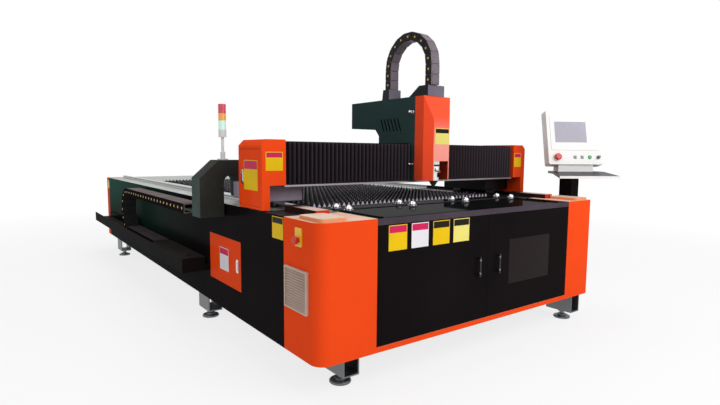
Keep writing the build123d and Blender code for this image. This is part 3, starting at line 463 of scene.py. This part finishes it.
looks = {
    # Painted cream glare on the tops of the orange covers
    paint("orange_coat", ORANGE, 0.3, 0.04, top_glare=0.45, **coat(0.05, 0.08)): (
        "rear_corners", "access_door", "gantry_covers", "hatch"),
    head_look(): ("head_cover",),
    # Painted cream glare on the tops of the front corners, stronger than on the covers
    paint("corner_coat", ORANGE, 0.3, 0.04, top_glare=0.85, **coat(0.05, 0.06)): ("front_surround",),
    cap_look(): ("rail_end_caps",),
    paint("black_coat", BLACK, 0.4, 0.16, **coat(0.04, 0.22)): (
        "rear_panel", "front_door_left", "front_door_right", "gantry_girder", "console_post"),
    panel_look(): ("side_panels",),
    # Painted light: the upward faces of the trough paler than the rest
    lit_and_shaded("trough_coat", srgb(60, 56, 55), srgb(30, 27, 27), "Z", 1, 0.4,
             Specular_IOR_Level=0.0, Coat_Weight=0.04): ("chain_tray",),
    # Painted light: the front faces of the apron paler than the rest
    lit_and_shaded("apron_coat", srgb(72, 63, 72), srgb(16, 18, 17), "Y", -1, 0.3, **coat(0.1, 0.04)): (
        "front_apron",),
    paint("green_black_coat", GREEN_BLACK, 0.34, 0.14, **coat(0.1, 0.2)): (
        "carriage_housing", "carriage_saddle"),
    # Painted light: the left face of the knee paler than the rest
    lit_and_shaded("knee_coat", srgb(64, 80, 76), srgb(52, 54, 51), "X", -1, 0.34, **coat(0.1, 0.16)): (
        "knee_bracket",),
    # Painted light: the front faces of the brackets paler than the rest
    lit_and_shaded("bracket_coat", srgb(116, 108, 122), srgb(24, 34, 33), "Y", -1, 0.36,
             Specular_IOR_Level=0.1): ("chain_brackets",),
    base_look(): ("gantry_bases",),
    paint("servo_coat", srgb(30, 30, 32), 0.4, 0.1): ("gantry_servos",),
    beam_look(): ("side_beams",),
    paint("deck_coat", srgb(160, 164, 158), 0.4, 0.08): ("rear_deck",),
    paint("frame_coat", srgb(70, 70, 72), 0.5, 0.12): ("bed_frame", "slag_pan"),
    rail_look(): ("guide_rails",),
    steel("runner_steel", srgb(150, 152, 156), 0.34, ALONG_Y): ("z_slide",),
    steel("block_steel", srgb(64, 64, 68), 0.4, ALONG_Y): ("gantry_runners",),
    slat_look(): ("cutting_slats",),
    steel("bright_steel", srgb(214, 214, 216), 0.14, (8.0, 8.0, 8.0), 0.06): (
        "ball_transfers", "access_lock", "hatch_lock", "carriage_knobs"),
    steel("zinc_steel", srgb(116, 118, 121), 0.42, (12.0, 12.0, 3.0), 0.2): (
        "foot_brackets", "levelling_feet"),
    plastic("grille_plastic", srgb(194, 172, 158), 0.5): ("vent_grille",),
    plastic("yellow_plastic", srgb(244, 196, 20), 0.35): ("stop_plate",),
    plastic("red_plastic", srgb(206, 30, 26), 0.3): ("side_stop", "console_stop"),
    # Painted light: the faces of the arch's links paler than their sides, as lit from the front
    lit_and_shaded("arch_plastic", srgb(118, 108, 116), srgb(30, 27, 31), "X", 0, 0.4,
             Specular_IOR_Level=0.1): ("arch_chain",),
    # Painted shade: the bend a darker copy of the runs' plastic
    lit_and_shaded("bend_plastic", srgb(46, 45, 46), LINK_BLACK, "X", 0, 0.4, Specular_IOR_Level=0.0): (
        "y_chain_bend",),
    # Painted light: the upper run's faces paler than its sides
    lit_and_shaded("chain_plastic", srgb(120, 110, 110), LINK_BLACK, "X", 0, 0.4, Specular_IOR_Level=0.0): (
        "y_chain_upper",),
    # Painted shade: the lower run a darker copy of the upper run's plastic
    lit_and_shaded("run_plastic", srgb(84, 77, 78), LINK_BLACK, "X", 0, 0.4, Specular_IOR_Level=0.0): (
        "y_chain_lower",),
    plastic("handle_plastic", srgb(16, 16, 17), 0.3): ("door_handle_left", "door_handle_right"),
    bellows_look(): ("bellows_left", "bellows_right"),
    steel("strip_aluminium", srgb(156, 150, 154), 0.34, ALONG_X, 0.08): ("bellows_strip",),
    plastic("tower_grey", srgb(222, 222, 220), 0.4): ("tower_pole",),
    lens_look(): ("tower_lenses",),
    steel("head_metal", srgb(224, 222, 220), 0.3, (30.0, 30.0, 1.0), 0.06): (
        "laser_head", "laser_nozzle"),
    paint("console_coat", WHITE, 0.42, 0.03, strength=0.12): ("console_box", "console_bezel"),
    plastic("screen_film", srgb(168, 164, 178), 0.3, 0.05, 2400.0, 0.03, Specular_IOR_Level=0.3): (
        "console_screen",),
    tray_look(): ("keyboard_tray",),
    plastic("button_plastic", srgb(120, 128, 124), 0.35): (
        "console_button_left", "console_button_right", "console_key"),
    plastic("green_plastic", srgb(24, 150, 70), 0.3): ("console_start",),
}
for look, names in looks.items():
    for name in names:
        slots = nodes[name].data.materials
        slots.clear()
        slots.append(look.mat)


# Pieces

def add_piece(name, bm, mats, body=None, smooth=False):
    """Makes an object from a bmesh, and sets its body and slot where they are given."""
    mesh = bpy.data.meshes.new(name)
    bm.normal_update()
    bm.to_mesh(mesh)
    bm.free()
    for look in mats:
        mesh.materials.append(look.mat)
    if smooth:
        mesh.shade_smooth()
    obj = bpy.data.objects.new(name, mesh)
    bpy.context.collection.objects.link(obj)
    if body:
        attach(obj, body)
    return obj


def find_look(name):
    return next(look for look in looks if look.name == name)


def copy_of(node, weld=False):
    """A CAD node's mesh to work on, with its faces joined where islands() has to tell solids apart."""
    bm = bmesh.new()
    bm.from_mesh(nodes[node].data)
    if weld:
        bmesh.ops.remove_doubles(bm, verts=bm.verts, dist=WELD)
    return bm


def islands(bm):
    """Bounding boxes of the separate solids in a mesh."""
    todo = set(bm.verts)
    boxes = []
    for start in bm.verts:
        if start not in todo:
            continue
        todo.remove(start)
        stack = [start]
        found = []
        while stack:
            v = stack.pop()
            found.append(v.co.copy())
            for edge in v.link_edges:
                other = edge.other_vert(v)
                if other in todo:
                    todo.remove(other)
                    stack.append(other)
        lo = Vector(min(c[i] for c in found) for i in range(3))
        hi = Vector(max(c[i] for c in found) for i in range(3))
        boxes.append((lo, hi))
    return boxes


def turned(bm, centre, axis, profile, slot_index=0, sides=14):
    """A solid of revolution: profile rows are (radius, distance along the axis), closed at both ends."""
    axis = Vector(axis)
    side = axis.orthogonal().normalized()
    other = axis.cross(side)
    turn = [2 * math.pi * i / sides for i in range(sides)]
    rings = []
    for radius, along in profile:
        middle = centre + axis * along
        rings.append([bm.verts.new(middle + radius * (math.cos(a) * side + math.sin(a) * other))
                      for a in turn])
    faces = [rings[-1], rings[0][::-1]]
    for lower, upper in zip(rings, rings[1:]):
        for i in range(sides):
            j = (i + 1) % sides
            faces.append([lower[i], lower[j], upper[j], upper[i]])
    for face in faces:
        bm.faces.new(face).material_index = slot_index


def rows_mm(*rows):
    """A profile for turned() from rows in millimetres."""
    return [(radius * MM, along * MM) for radius, along in rows]


yellow_dot = plastic("chain_dot", srgb(212, 168, 66), 0.4)
DOT_RADIUS = 9.5 * MM
ARCH_DOT_RADIUS = 0.8 * DOT_RADIUS
DOT_HEIGHT = 1.2 * MM
LINK_GAP = 3.0 * MM
LINK_BEVEL = 2.2 * MM
CORE_INSET = 3.5 * MM
SCREW_RADIUS = 3.4 * MM
SCREW_HEIGHT = 0.4 * MM
SCREW_SIDES = 10
SCREW_ACROSS = (0.17, 0.83)
SCREW_ALONG = 0.3
CHAIN_HEIGHT = 66 * MM
CHAIN_BEND_LINKS = 7
ARCH_HEIGHT = 56 * MM
ARCH_LINKS = 9


def pin_cap(bm, place, radius):
    """A low yellow cap on a left face."""
    cap = [(radius, 0.0), (radius * 0.92, DOT_HEIGHT * 0.7), (radius * 0.6, DOT_HEIGHT)]
    turned(bm, place, (-1, 0, 0), cap, 1)


def dotted_chain(node, look):
    """A straight chain's solids with a pin cap on the left face of each link."""
    bm = copy_of(node, weld=True)
    for lo, hi in islands(bm):
        middle = (lo + hi) / 2
        pin_cap(bm, Vector((lo.x, middle.y, middle.z)), DOT_RADIUS)
    piece = add_piece(node + "_links", bm, [find_look(look), yellow_dot])
    return piece


def bend_sections(count, outer, inner, centre, start, sweep):
    """Pairs of outer and inner corners of mitred links round a half turn."""
    turn = math.pi / count
    pairs = []
    for j in range(count + 1):
        grow = 1.0 if j in (0, count) else 1.0 / math.cos(turn / 2)
        angle = start + sweep * j * turn
        way = Vector((0, math.cos(angle), math.sin(angle)))
        pairs.append((centre + way * outer * grow, centre + way * inner * grow))
    return pairs


def tube(bm, sections, x0, x1, slot_index=0):
    """A closed bar through pairs of outer and inner corners, from x0 to x1."""
    rings = []
    for a, b in sections:
        corners = ((x0, a), (x1, a), (x1, b), (x0, b))
        rings.append([bm.verts.new((x, p.y, p.z)) for x, p in corners])
    faces = [rings[0], rings[-1][::-1]]
    for first, second in zip(rings, rings[1:]):
        faces += [[first[(i + 1) % 4], first[i], second[i], second[(i + 1) % 4]] for i in range(4)]
    made = [bm.faces.new(face) for face in faces]
    for face in made:
        face.material_index = slot_index
    bmesh.ops.recalc_face_normals(bm, faces=made)
    return made


def mitred_chain(node, sections, radius, look):
    """Bevelled links on mitres round a dark core, with pin caps at the left and screws outside."""
    lo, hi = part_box(node)
    screw = [(SCREW_RADIUS, -SCREW_HEIGHT), (SCREW_RADIUS, SCREW_HEIGHT)]
    bm = bmesh.new()
    for (a, b), (c, d) in zip(sections, sections[1:]):
        top = (c - a).normalized() * LINK_GAP / 2
        low = (d - b).normalized() * LINK_GAP / 2
        faces = tube(bm, [(a + top, b + low), (c - top, d - low)], lo.x, hi.x)
        edges = list(dict.fromkeys(edge for face in faces for edge in face.edges))
        bmesh.ops.bevel(bm, geom=edges, offset=LINK_BEVEL, segments=1, affect="EDGES")
        middle = (a + b + c + d) / 4
        pin_cap(bm, Vector((lo.x, middle.y, middle.z)), radius)
        along = (c - a) * SCREW_ALONG
        out = Vector((1, 0, 0)).cross(c - a).normalized()
        out = out if out.dot(a + c - b - d) > 0 else -out
        for x in (lo.x + (hi.x - lo.x) * share for share in SCREW_ACROSS):
            for step in (along, -along):
                place = (a + c) / 2 + step
                turned(bm, Vector((x, place.y, place.z)), out, screw, 2, SCREW_SIDES)
    core = []
    for a, b in sections:
        inset = (a - b).normalized() * CORE_INSET
        core.append((a - inset, b + inset))
    for i, j in ((0, 1), (-1, -2)):
        a, b = core[i]
        step = (core[j][0] - a).normalized() * CORE_INSET
        core[i] = (a + step, b + step)
    tube(bm, core, lo.x + CORE_INSET, hi.x - CORE_INSET, 2)
    piece = add_piece(node + "_links", bm, [find_look(look), yellow_dot, find_look("servo_coat")])
    return piece


def make_bend():
    """The half turn from the lower run to the upper one."""
    lo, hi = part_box("y_chain_bend")
    outer = (hi.z - lo.z) / 2 - SCREW_HEIGHT
    centre = Vector((0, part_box("y_chain_upper")[1].y, (lo.z + hi.z) / 2))
    inner = outer + SCREW_HEIGHT - CHAIN_HEIGHT
    sections = bend_sections(CHAIN_BEND_LINKS, outer, inner, centre, -math.pi / 2, 1)
    return mitred_chain("y_chain_bend", sections, DOT_RADIUS, "bend_plastic")


def make_arch():
    """A half turn on two legs, each down to its own bracket."""
    lo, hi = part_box("arch_chain")
    outer = (hi.y - lo.y) / 2
    centre = Vector((0, (lo.y + hi.y) / 2, hi.z - outer))
    outer -= SCREW_HEIGHT
    inner = outer + SCREW_HEIGHT - ARCH_HEIGHT
    sections = bend_sections(ARCH_LINKS, outer, inner, centre, math.pi, -1)
    back_low = min(a.z for a, b in islands(copy_of("arch_chain")) if a.y > centre.y)
    legs = []
    for end, low in ((sections[0], lo.z), (sections[-1], back_low)):
        drop = Vector((0, 0, low - centre.z))
        legs.append([(end[0] + drop * share, end[1] + drop * share) for share in (0.5, 1.0)])
    sections = legs[0][::-1] + sections + legs[1]
    return mitred_chain("arch_chain", sections, ARCH_DOT_RADIUS, "arch_plastic")


def make_chains():
    """Runs between bed and gantry, the bend between them, and the arch on the carriage."""
    upper = dotted_chain("y_chain_upper", "chain_plastic")
    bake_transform(upper)
    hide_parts("y_chain_upper")
    lower = dotted_chain("y_chain_lower", "run_plastic")
    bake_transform(lower)
    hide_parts("y_chain_lower")
    bend = make_bend()
    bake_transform(bend)
    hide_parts("y_chain_bend")
    arch = make_arch()
    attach(arch, "carriage")
    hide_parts("arch_chain")


def make_bellows():
    """The CAD pleats between gantry and carriage, copied as they stand."""
    for side, ends in (("left", ("gantry", "carriage")), ("right", ("carriage", "gantry"))):
        node = "bellows_" + side
        piece = add_piece(node + "_pleats", copy_of(node), [find_look("bellows_cloth")])
        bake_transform(piece)
        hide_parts(node)


SLAT_TOOTH = 36 * MM
SLAT_NOTCH = 40 * MM
TIP_SHARES = (0.47, 0.53)

# Fixed patterns of short tips and of shifts from row to row, so that each run gives the same slats
BURN_STEP = 0.35 * MM
BURN_STEPS = 13
BURN_STRIDE = 7
BURN_ROW_STRIDE = 11
SHIFT_STEPS = 8
SHIFT_STRIDE = 5


def toothed_plate(bm, lo, hi, shift, row):
    """One closed slat: a strip below the notches and a blunt tooth on each pitch."""
    base = hi.z - SLAT_NOTCH
    depth = (lo.y, hi.y)
    count = int((hi.x - lo.x - shift) // SLAT_TOOTH)
    marks = [lo.x + shift + i * SLAT_TOOTH for i in range(count + 1)]
    bare = set()
    if shift:
        marks.insert(0, lo.x)
        bare.add(0)
    if hi.x - marks[-1] > WELD:
        bare.add(len(marks) - 1)
        marks.append(hi.x)
    feet, shoulders = ([[bm.verts.new((x, y, z)) for y in depth] for x in marks] for z in (lo.z, base))
    for i in range(len(marks) - 1):
        low, high = (feet[i], feet[i + 1]), (shoulders[i], shoulders[i + 1])
        bm.faces.new([low[0][0], low[1][0], high[1][0], high[0][0]])
        bm.faces.new([low[1][1], low[0][1], high[0][1], high[1][1]])
        bm.faces.new([low[0][1], low[1][1], low[1][0], low[0][0]])
        if i in bare:
            bm.faces.new([high[0][0], high[1][0], high[1][1], high[0][1]])
            continue
        tip = hi.z - BURN_STEP * ((BURN_STRIDE * i + BURN_ROW_STRIDE * row) % BURN_STEPS)
        width = marks[i + 1] - marks[i]
        stands = [marks[i] + share * width for share in TIP_SHARES]
        tips = [[bm.verts.new((x, y, tip)) for y in depth] for x in stands]
        bm.faces.new([high[0][0], high[1][0], tips[1][0], tips[0][0]])
        bm.faces.new([high[1][1], high[0][1], tips[0][1], tips[1][1]])
        bm.faces.new([tips[0][0], tips[1][0], tips[1][1], tips[0][1]])
        bm.faces.new([high[0][1], high[0][0], tips[0][0], tips[0][1]])
        bm.faces.new([high[1][0], high[1][1], tips[1][1], tips[1][0]])
    for low, high, turn in ((feet[0], shoulders[0], 1), (feet[-1], shoulders[-1], -1)):
        bm.faces.new([low[1], low[0], high[0], high[1]][::turn])


def make_slats():
    """Slats at the CAD places with fine teeth, shifted from row to row and burnt to uneven heights."""
    bm = bmesh.new()
    source = copy_of("cutting_slats", weld=True)
    boxes = sorted(islands(source), key=lambda b: b[0].y)
    source.free()
    for row, (lo, hi) in enumerate(boxes):
        shift = SLAT_TOOTH * ((SHIFT_STRIDE * row) % SHIFT_STEPS) / SHIFT_STEPS
        toothed_plate(bm, lo, hi, shift, row)
    piece = add_piece("slats_cut", bm, [find_look("slat_plate")], "bed")
    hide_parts("cutting_slats")


make_chains()
make_bellows()
make_slats()


# Blank two-tone plates where the machine carries stickers: a header band over a plain field

PLATE_COLOURS = (
    ("pink", srgb(208, 40, 90)), ("dark", srgb(34, 30, 24)), ("yellow", srgb(234, 192, 20)),
    ("pale", srgb(236, 224, 120)), ("white", srgb(232, 230, 236)), ("panel", srgb(27, 20, 18)))
PLATE_DEPTH = 0.7 * MM
HEADER_DEPTH = 0.25 * MM
HEADER_SHARE = 0.3
PLATE_CHAMFER = 0.3 * MM
BORDER = 4 * MM
plate_looks = {}
for name, colour in PLATE_COLOURS:
    plate_looks[name] = plastic("plate_" + name, colour, 0.34, 0.04, 1800.0, 0.05,
                                Specular_IOR_Level=0.06)


def flat_box(bm, to_place, span, heights, low, high, slot_index):
    """A thin plate with chamfered edges, in a face's own u, v and outward directions."""
    cut = min((high - low) / 2, PLATE_CHAMFER)
    rings = []
    for inset, out in ((0, low), (0, high - cut), (cut, high)):
        u0, u1 = span[0] + inset, span[1] - inset
        v0, v1 = heights[0] + inset, heights[1] - inset
        corners = ((u0, v0), (u1, v0), (u1, v1), (u0, v1))
        rings.append([bm.verts.new(to_place(u, v, out)) for u, v in corners])
    made = [bm.faces.new(rings[-1]), bm.faces.new(rings[0][::-1])]
    for lower, upper in zip(rings, rings[1:]):
        for i in range(4):
            j = (i + 1) % 4
            made.append(bm.faces.new([lower[i], lower[j], upper[j], upper[i]]))
    for face in made:
        face.material_index = slot_index


def blank_plate(name, body, face, span, heights, header, field):
    """face is ("y", value) for a front face or ("x", value) for the left side; span runs along it."""
    axis, value = face

    def to_place(u, v, out):
        if axis == "y":
            return at(0, value, 0) + Vector((u, -out, v))
        return at(value, 0, 0) + Vector((-out, u, v))

    bm = bmesh.new()
    u0, u1 = (v * MM for v in span)
    v0, v1 = (v * MM for v in heights)
    split = v1 - HEADER_SHARE * (v1 - v0)
    flat_box(bm, to_place, (u0, u1), (v0, v1), 0.0, PLATE_DEPTH, 0)
    flat_box(bm, to_place, (u0 + BORDER, u1 - BORDER), (split, v1 - BORDER), PLATE_DEPTH,
             PLATE_DEPTH + HEADER_DEPTH, 1)
    bmesh.ops.recalc_face_normals(bm, faces=bm.faces)
    add_piece(name, bm, [plate_looks[field], plate_looks[header]], body)


def make_plates():
    front = ("y", 0)
    left = ("x", -1150)
    covers = ("y", 572)
    rows = (
        ("plate_door_a", "door_left", front, (-734, -611), (704, 835), "pink", "yellow"),
        ("plate_door_b", "door_left", front, (-580, -458), (704, 835), "pink", "white"),
        ("plate_door_c", "door_left", front, (-425, -298), (704, 835), "dark", "yellow"),
        ("plate_door_d", "door_left", front, (-267, -138), (704, 835), "dark", "pale"),
        ("plate_side", "bed", left, (333, 455), (752, 867), "dark", "yellow"),
        ("plate_rear", "bed", left, (4765, 4835), (750, 844), "yellow", "pale"),
        ("plate_access", "access_door", left, (1060, 1204), (446, 590), "pink", "white"),
        ("plate_hatch", "hatch", left, (626, 806), (984, 1152), "pink", "yellow"),
        ("plate_cover_left", "gantry", covers, (-1127, -1023), (1096, 1199), "pink", "yellow"),
        ("plate_cover_right", "gantry", covers, (1014, 1098), (1096, 1204), "pink", "yellow"),
        ("plate_head", "carriage", ("y", 432), (3, 130), (1256, 1360), "dark", "pale"),
    )
    for name, body, face, span, heights, header, field in rows:
        blank_plate(name, body, face, span, heights, header, field)
    blank_plate("panel_door", "door_right", front, (234, 652), (394, 674),
                "panel", "panel")


make_plates()


# Small fittings

HANDLE_BAR = 6 * MM
COLLAR_PLACE = 20 * MM
COLLAR_RADIUS = HANDLE_BAR + 1 * MM
COLLAR_BORE = 0.9 * HANDLE_BAR
COLLAR_HALF = 6 * MM
COLLAR_EDGE = 0.8 * MM
COLLAR_SIDES = 24

KEY_RADIUS = 2.2 * MM
KEY_SUNK = 1 * MM
KEY_SHANK = 7 * MM
KEY_BOW_PLACE = 15 * MM
KEY_BOW = rows_mm((8.6, -1.3), (10, -0.7), (10, 0.7), (8.6, 1.3))
KEY_SIDES = 24

BAND_HEIGHTS = (43, 55)
BAND_GROW = 1.5 * MM
BAND_CORNER = 0.125
DOME_HEIGHT = 23 * MM
DOME = rows_mm((17, 0), (17, 3), (15.5, 7), (11, 10), (4, 11.5))
DOME_SIDES = 28
KNOB_PLACE = Vector((22 * MM, 0, -16 * MM))
KNOB = rows_mm((3, 0), (3, 3), (6, 3.5), (6, 8), (4, 10))
KNOB_SIDES = 20

LUGS = 18
LUG_INSET = 3 * MM
LUG = rows_mm((4.5, 1), (5.5, 2.5), (5.5, 11), (4, 13))
LUG_SIDES = 10


def make_handles():
    """Zinc collars at the ends of the door handles' bars."""
    rim = COLLAR_RADIUS - COLLAR_EDGE
    edge = COLLAR_HALF - COLLAR_EDGE
    rows = [(COLLAR_BORE, -COLLAR_HALF), (rim, -COLLAR_HALF), (COLLAR_RADIUS, -edge),
            (COLLAR_RADIUS, edge), (rim, COLLAR_HALF), (COLLAR_BORE, COLLAR_HALF)]
    for side in ("left", "right"):
        lo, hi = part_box("door_handle_" + side)
        bm = bmesh.new()
        for z in (lo.z + COLLAR_PLACE, hi.z - COLLAR_PLACE):
            place = Vector(((lo.x + hi.x) / 2, lo.y + HANDLE_BAR, z))
            turned(bm, place, (0, 0, 1), rows, sides=COLLAR_SIDES)
        name = "handle_collars_" + side
        add_piece(name, bm, [find_look("zinc_steel")], "door_" + side, True)


def make_head_fittings():
    """Band, lens drawer knob and pointer knob on the front of the laser head."""
    lo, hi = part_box("laser_head")
    middle = (lo + hi) / 2
    bm = bmesh.new()
    corner = (hi.x - lo.x) * BAND_CORNER
    outline = []
    for sx, sy in ((1, 1), (-1, 1), (-1, -1), (1, -1)):
        ex = sx * ((hi.x - lo.x) / 2 + BAND_GROW)
        ey = sy * ((hi.y - lo.y) / 2 + BAND_GROW)
        first, second = (ex, ey - sy * corner), (ex - sx * corner, ey)
        outline += [first, second] if sx * sy > 0 else [second, first]
    low, high = ([bm.verts.new((middle.x + x, middle.y + y, lo.z + z * MM)) for x, y in outline]
                 for z in BAND_HEIGHTS)
    bm.faces.new(high)
    bm.faces.new(low[::-1])
    for i in range(len(low)):
        j = (i + 1) % len(low)
        bm.faces.new([low[i], low[j], high[j], high[i]])
    front = Vector((middle.x, lo.y, lo.z + DOME_HEIGHT))
    turned(bm, front, (0, -1, 0), DOME, 1, DOME_SIDES)
    turned(bm, front + KNOB_PLACE, (0, -1, 0), KNOB, 2, KNOB_SIDES)
    mats = [find_look("servo_coat"), find_look("head_metal"), find_look("red_plastic")]
    add_piece("head_fittings", bm, mats, "z_head")


def make_key():
    """A key in the console's switch: shank and flat bow."""
    mesh = nodes["console_key"].data
    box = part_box("console_key")
    centre = (box[0] + box[1]) / 2
    out = max(mesh.polygons, key=lambda face: face.area).normal.copy()
    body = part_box("console_box")
    if out.dot(centre - (body[0] + body[1]) / 2) < 0:
        out = -out
    reach = max((v.co - centre).dot(out) for v in mesh.vertices)
    across = out.cross(Vector((0, 0, 1))).normalized()
    bm = bmesh.new()
    turned(bm, centre, out, [(KEY_RADIUS, reach - KEY_SUNK), (KEY_RADIUS, reach + KEY_SHANK)])
    turned(bm, centre + out * (reach + KEY_BOW_PLACE), across, KEY_BOW, 0, KEY_SIDES)
    add_piece("console_key_blade", bm, [find_look("bright_steel")], "console_key")


def make_foot_grips():
    """Lugs round the rims of the levelling pads."""
    source = copy_of("levelling_feet", weld=True)
    bm = bmesh.new()
    for lo, hi in islands(source):
        middle = (lo + hi) / 2
        reach = (hi.x - lo.x) / 2 - LUG_INSET
        for i in range(LUGS):
            a = 2 * math.pi * i / LUGS
            place = Vector((middle.x + reach * math.cos(a), middle.y + reach * math.sin(a), lo.z))
            turned(bm, place, (0, 0, 1), LUG, 0, LUG_SIDES)
    source.free()
    add_piece("foot_grips", bm, [find_look("zinc_steel")], "bed")


make_handles()
make_head_fittings()
make_key()
make_foot_grips()


# Stage, light and camera

FLOOR_HALF = 60.0
FLOOR_TONE = (0.86, 0.86, 0.86, 1)
PURE_WHITE = (1, 1, 1, 1)

# The floor shows as white from GLOW_FAR on, and nearly so within GLOW_NEAR of the middle
GLOW_NEAR = 3.0
GLOW_FAR = 7.0
GLOW_LEAST = 0.8
WORLD_LIGHT = 0.36

# Name, place, width and power of each lamp
LAMPS = (
    ("key", (0.8, -6.4, 4.2), 4.5, 230),
    ("fill", (-6.0, -2.5, 4.2), 5.0, 64),
    ("top", (0, 0.8, 6.5), 5.5, 150),
)
LAMP_AIM = Vector((0, 0, 0.8))

# Yaw, pitch and roll in degrees, and the focal length in pixels of the photograph
CAMERA_PLACE = (-2348, -1940, 1197)
CAMERA_TURN = (36.45, 5.58, 0.46)
FOCAL_PIXELS = 508.1
PICTURE_WIDTH = 720
SENSOR_WIDTH = 36.0
CLIP_END = 200.0


def plane(name, half):
    mesh = bpy.data.meshes.new(name)
    corners = [(-half, -half, 0), (half, -half, 0), (half, half, 0), (-half, half, 0)]
    mesh.from_pydata(corners, [], [(0, 1, 2, 3)])
    obj = bpy.data.objects.new(name, mesh)
    bpy.context.collection.objects.link(obj)
    return obj


def seen(tree):
    """One for rays that show the background: from the camera, mirrors or glass."""
    path = tree.nodes.new("ShaderNodeLightPath")
    total = path.outputs["Is Camera Ray"]
    for other in ("Is Glossy Ray", "Is Transmission Ray"):
        step = tree.nodes.new("ShaderNodeMath")
        step.operation = "MAXIMUM"
        tree.links.new(total, step.inputs[0])
        tree.links.new(path.outputs[other], step.inputs[1])
        total = step.outputs[0]
    return total


def make_floor():
    """A pale floor that takes shadows and fades to white with distance."""
    floor = plane("floor", FLOOR_HALF)
    mat = bpy.data.materials.new("floor")
    mat.use_nodes = True
    tree = mat.node_tree
    tree.nodes.clear()
    out = tree.nodes.new("ShaderNodeOutputMaterial")
    diffuse = tree.nodes.new("ShaderNodeBsdfDiffuse")
    diffuse.inputs["Color"].default_value = FLOOR_TONE
    glow = tree.nodes.new("ShaderNodeEmission")
    glow.inputs["Color"].default_value = PURE_WHITE
    place = tree.nodes.new("ShaderNodeTexCoord")
    far = tree.nodes.new("ShaderNodeVectorMath")
    far.operation = "LENGTH"
    tree.links.new(place.outputs["Object"], far.inputs[0])
    fade = tree.nodes.new("ShaderNodeMapRange")
    tree.links.new(far.outputs["Value"], fade.inputs["Value"])
    fade.inputs["From Min"].default_value = GLOW_NEAR
    fade.inputs["From Max"].default_value = GLOW_FAR
    fade.inputs["To Min"].default_value = GLOW_LEAST
    part = tree.nodes.new("ShaderNodeMath")
    part.operation = "MULTIPLY"
    tree.links.new(fade.outputs["Result"], part.inputs[1])
    tree.links.new(seen(tree), part.inputs[0])
    blend = tree.nodes.new("ShaderNodeMixShader")
    tree.links.new(part.outputs[0], blend.inputs["Fac"])
    tree.links.new(diffuse.outputs[0], blend.inputs[1])
    tree.links.new(glow.outputs[0], blend.inputs[2])
    tree.links.new(blend.outputs[0], out.inputs["Surface"])
    floor.data.materials.append(mat)


def make_world():
    """White to look at, and a low even light on the part."""
    world = bpy.data.worlds.new("studio")
    bpy.context.scene.world = world
    world.use_nodes = True
    tree = world.node_tree
    back = tree.nodes["Background"]
    level = tree.nodes.new("ShaderNodeMapRange")
    tree.links.new(seen(tree), level.inputs["Value"])
    level.inputs["To Min"].default_value = WORLD_LIGHT
    tree.links.new(level.outputs["Result"], back.inputs["Strength"])
    back.inputs["Color"].default_value = PURE_WHITE


def make_lamps():
    for name, place, width, power in LAMPS:
        data = bpy.data.lights.new(name, "AREA")
        data.size = width
        data.energy = power
        obj = bpy.data.objects.new(name, data)
        bpy.context.collection.objects.link(obj)
        obj.location = place
        obj.rotation_mode = "QUATERNION"
        obj.rotation_quaternion = (LAMP_AIM - Vector(place)).to_track_quat("-Z", "Y")


def make_camera():
    """The camera that was fitted to the photograph."""
    yaw, pitch, roll = (math.radians(v) for v in CAMERA_TURN)
    ahead = Vector((math.sin(yaw) * math.cos(pitch), math.cos(yaw) * math.cos(pitch), -math.sin(pitch)))
    right = Vector((math.cos(yaw), -math.sin(yaw), 0))
    up = right.cross(ahead)
    rolled_right = math.cos(roll) * right + math.sin(roll) * up
    rolled_up = math.cos(roll) * up - math.sin(roll) * right
    data = bpy.data.cameras.new("camera")
    data.sensor_width = SENSOR_WIDTH
    data.lens = SENSOR_WIDTH * FOCAL_PIXELS / PICTURE_WIDTH
    data.clip_end = CLIP_END
    cam = bpy.data.objects.new("camera", data)
    bpy.context.collection.objects.link(cam)
    turn = Matrix((rolled_right, rolled_up, -ahead)).transposed().to_4x4()
    cam.matrix_world = Matrix.Translation(at(*CAMERA_PLACE)) @ turn
    bpy.context.scene.camera = cam


make_floor()
make_world()
make_lamps()
make_camera()
bpy.context.scene.view_settings.view_transform = "Standard"
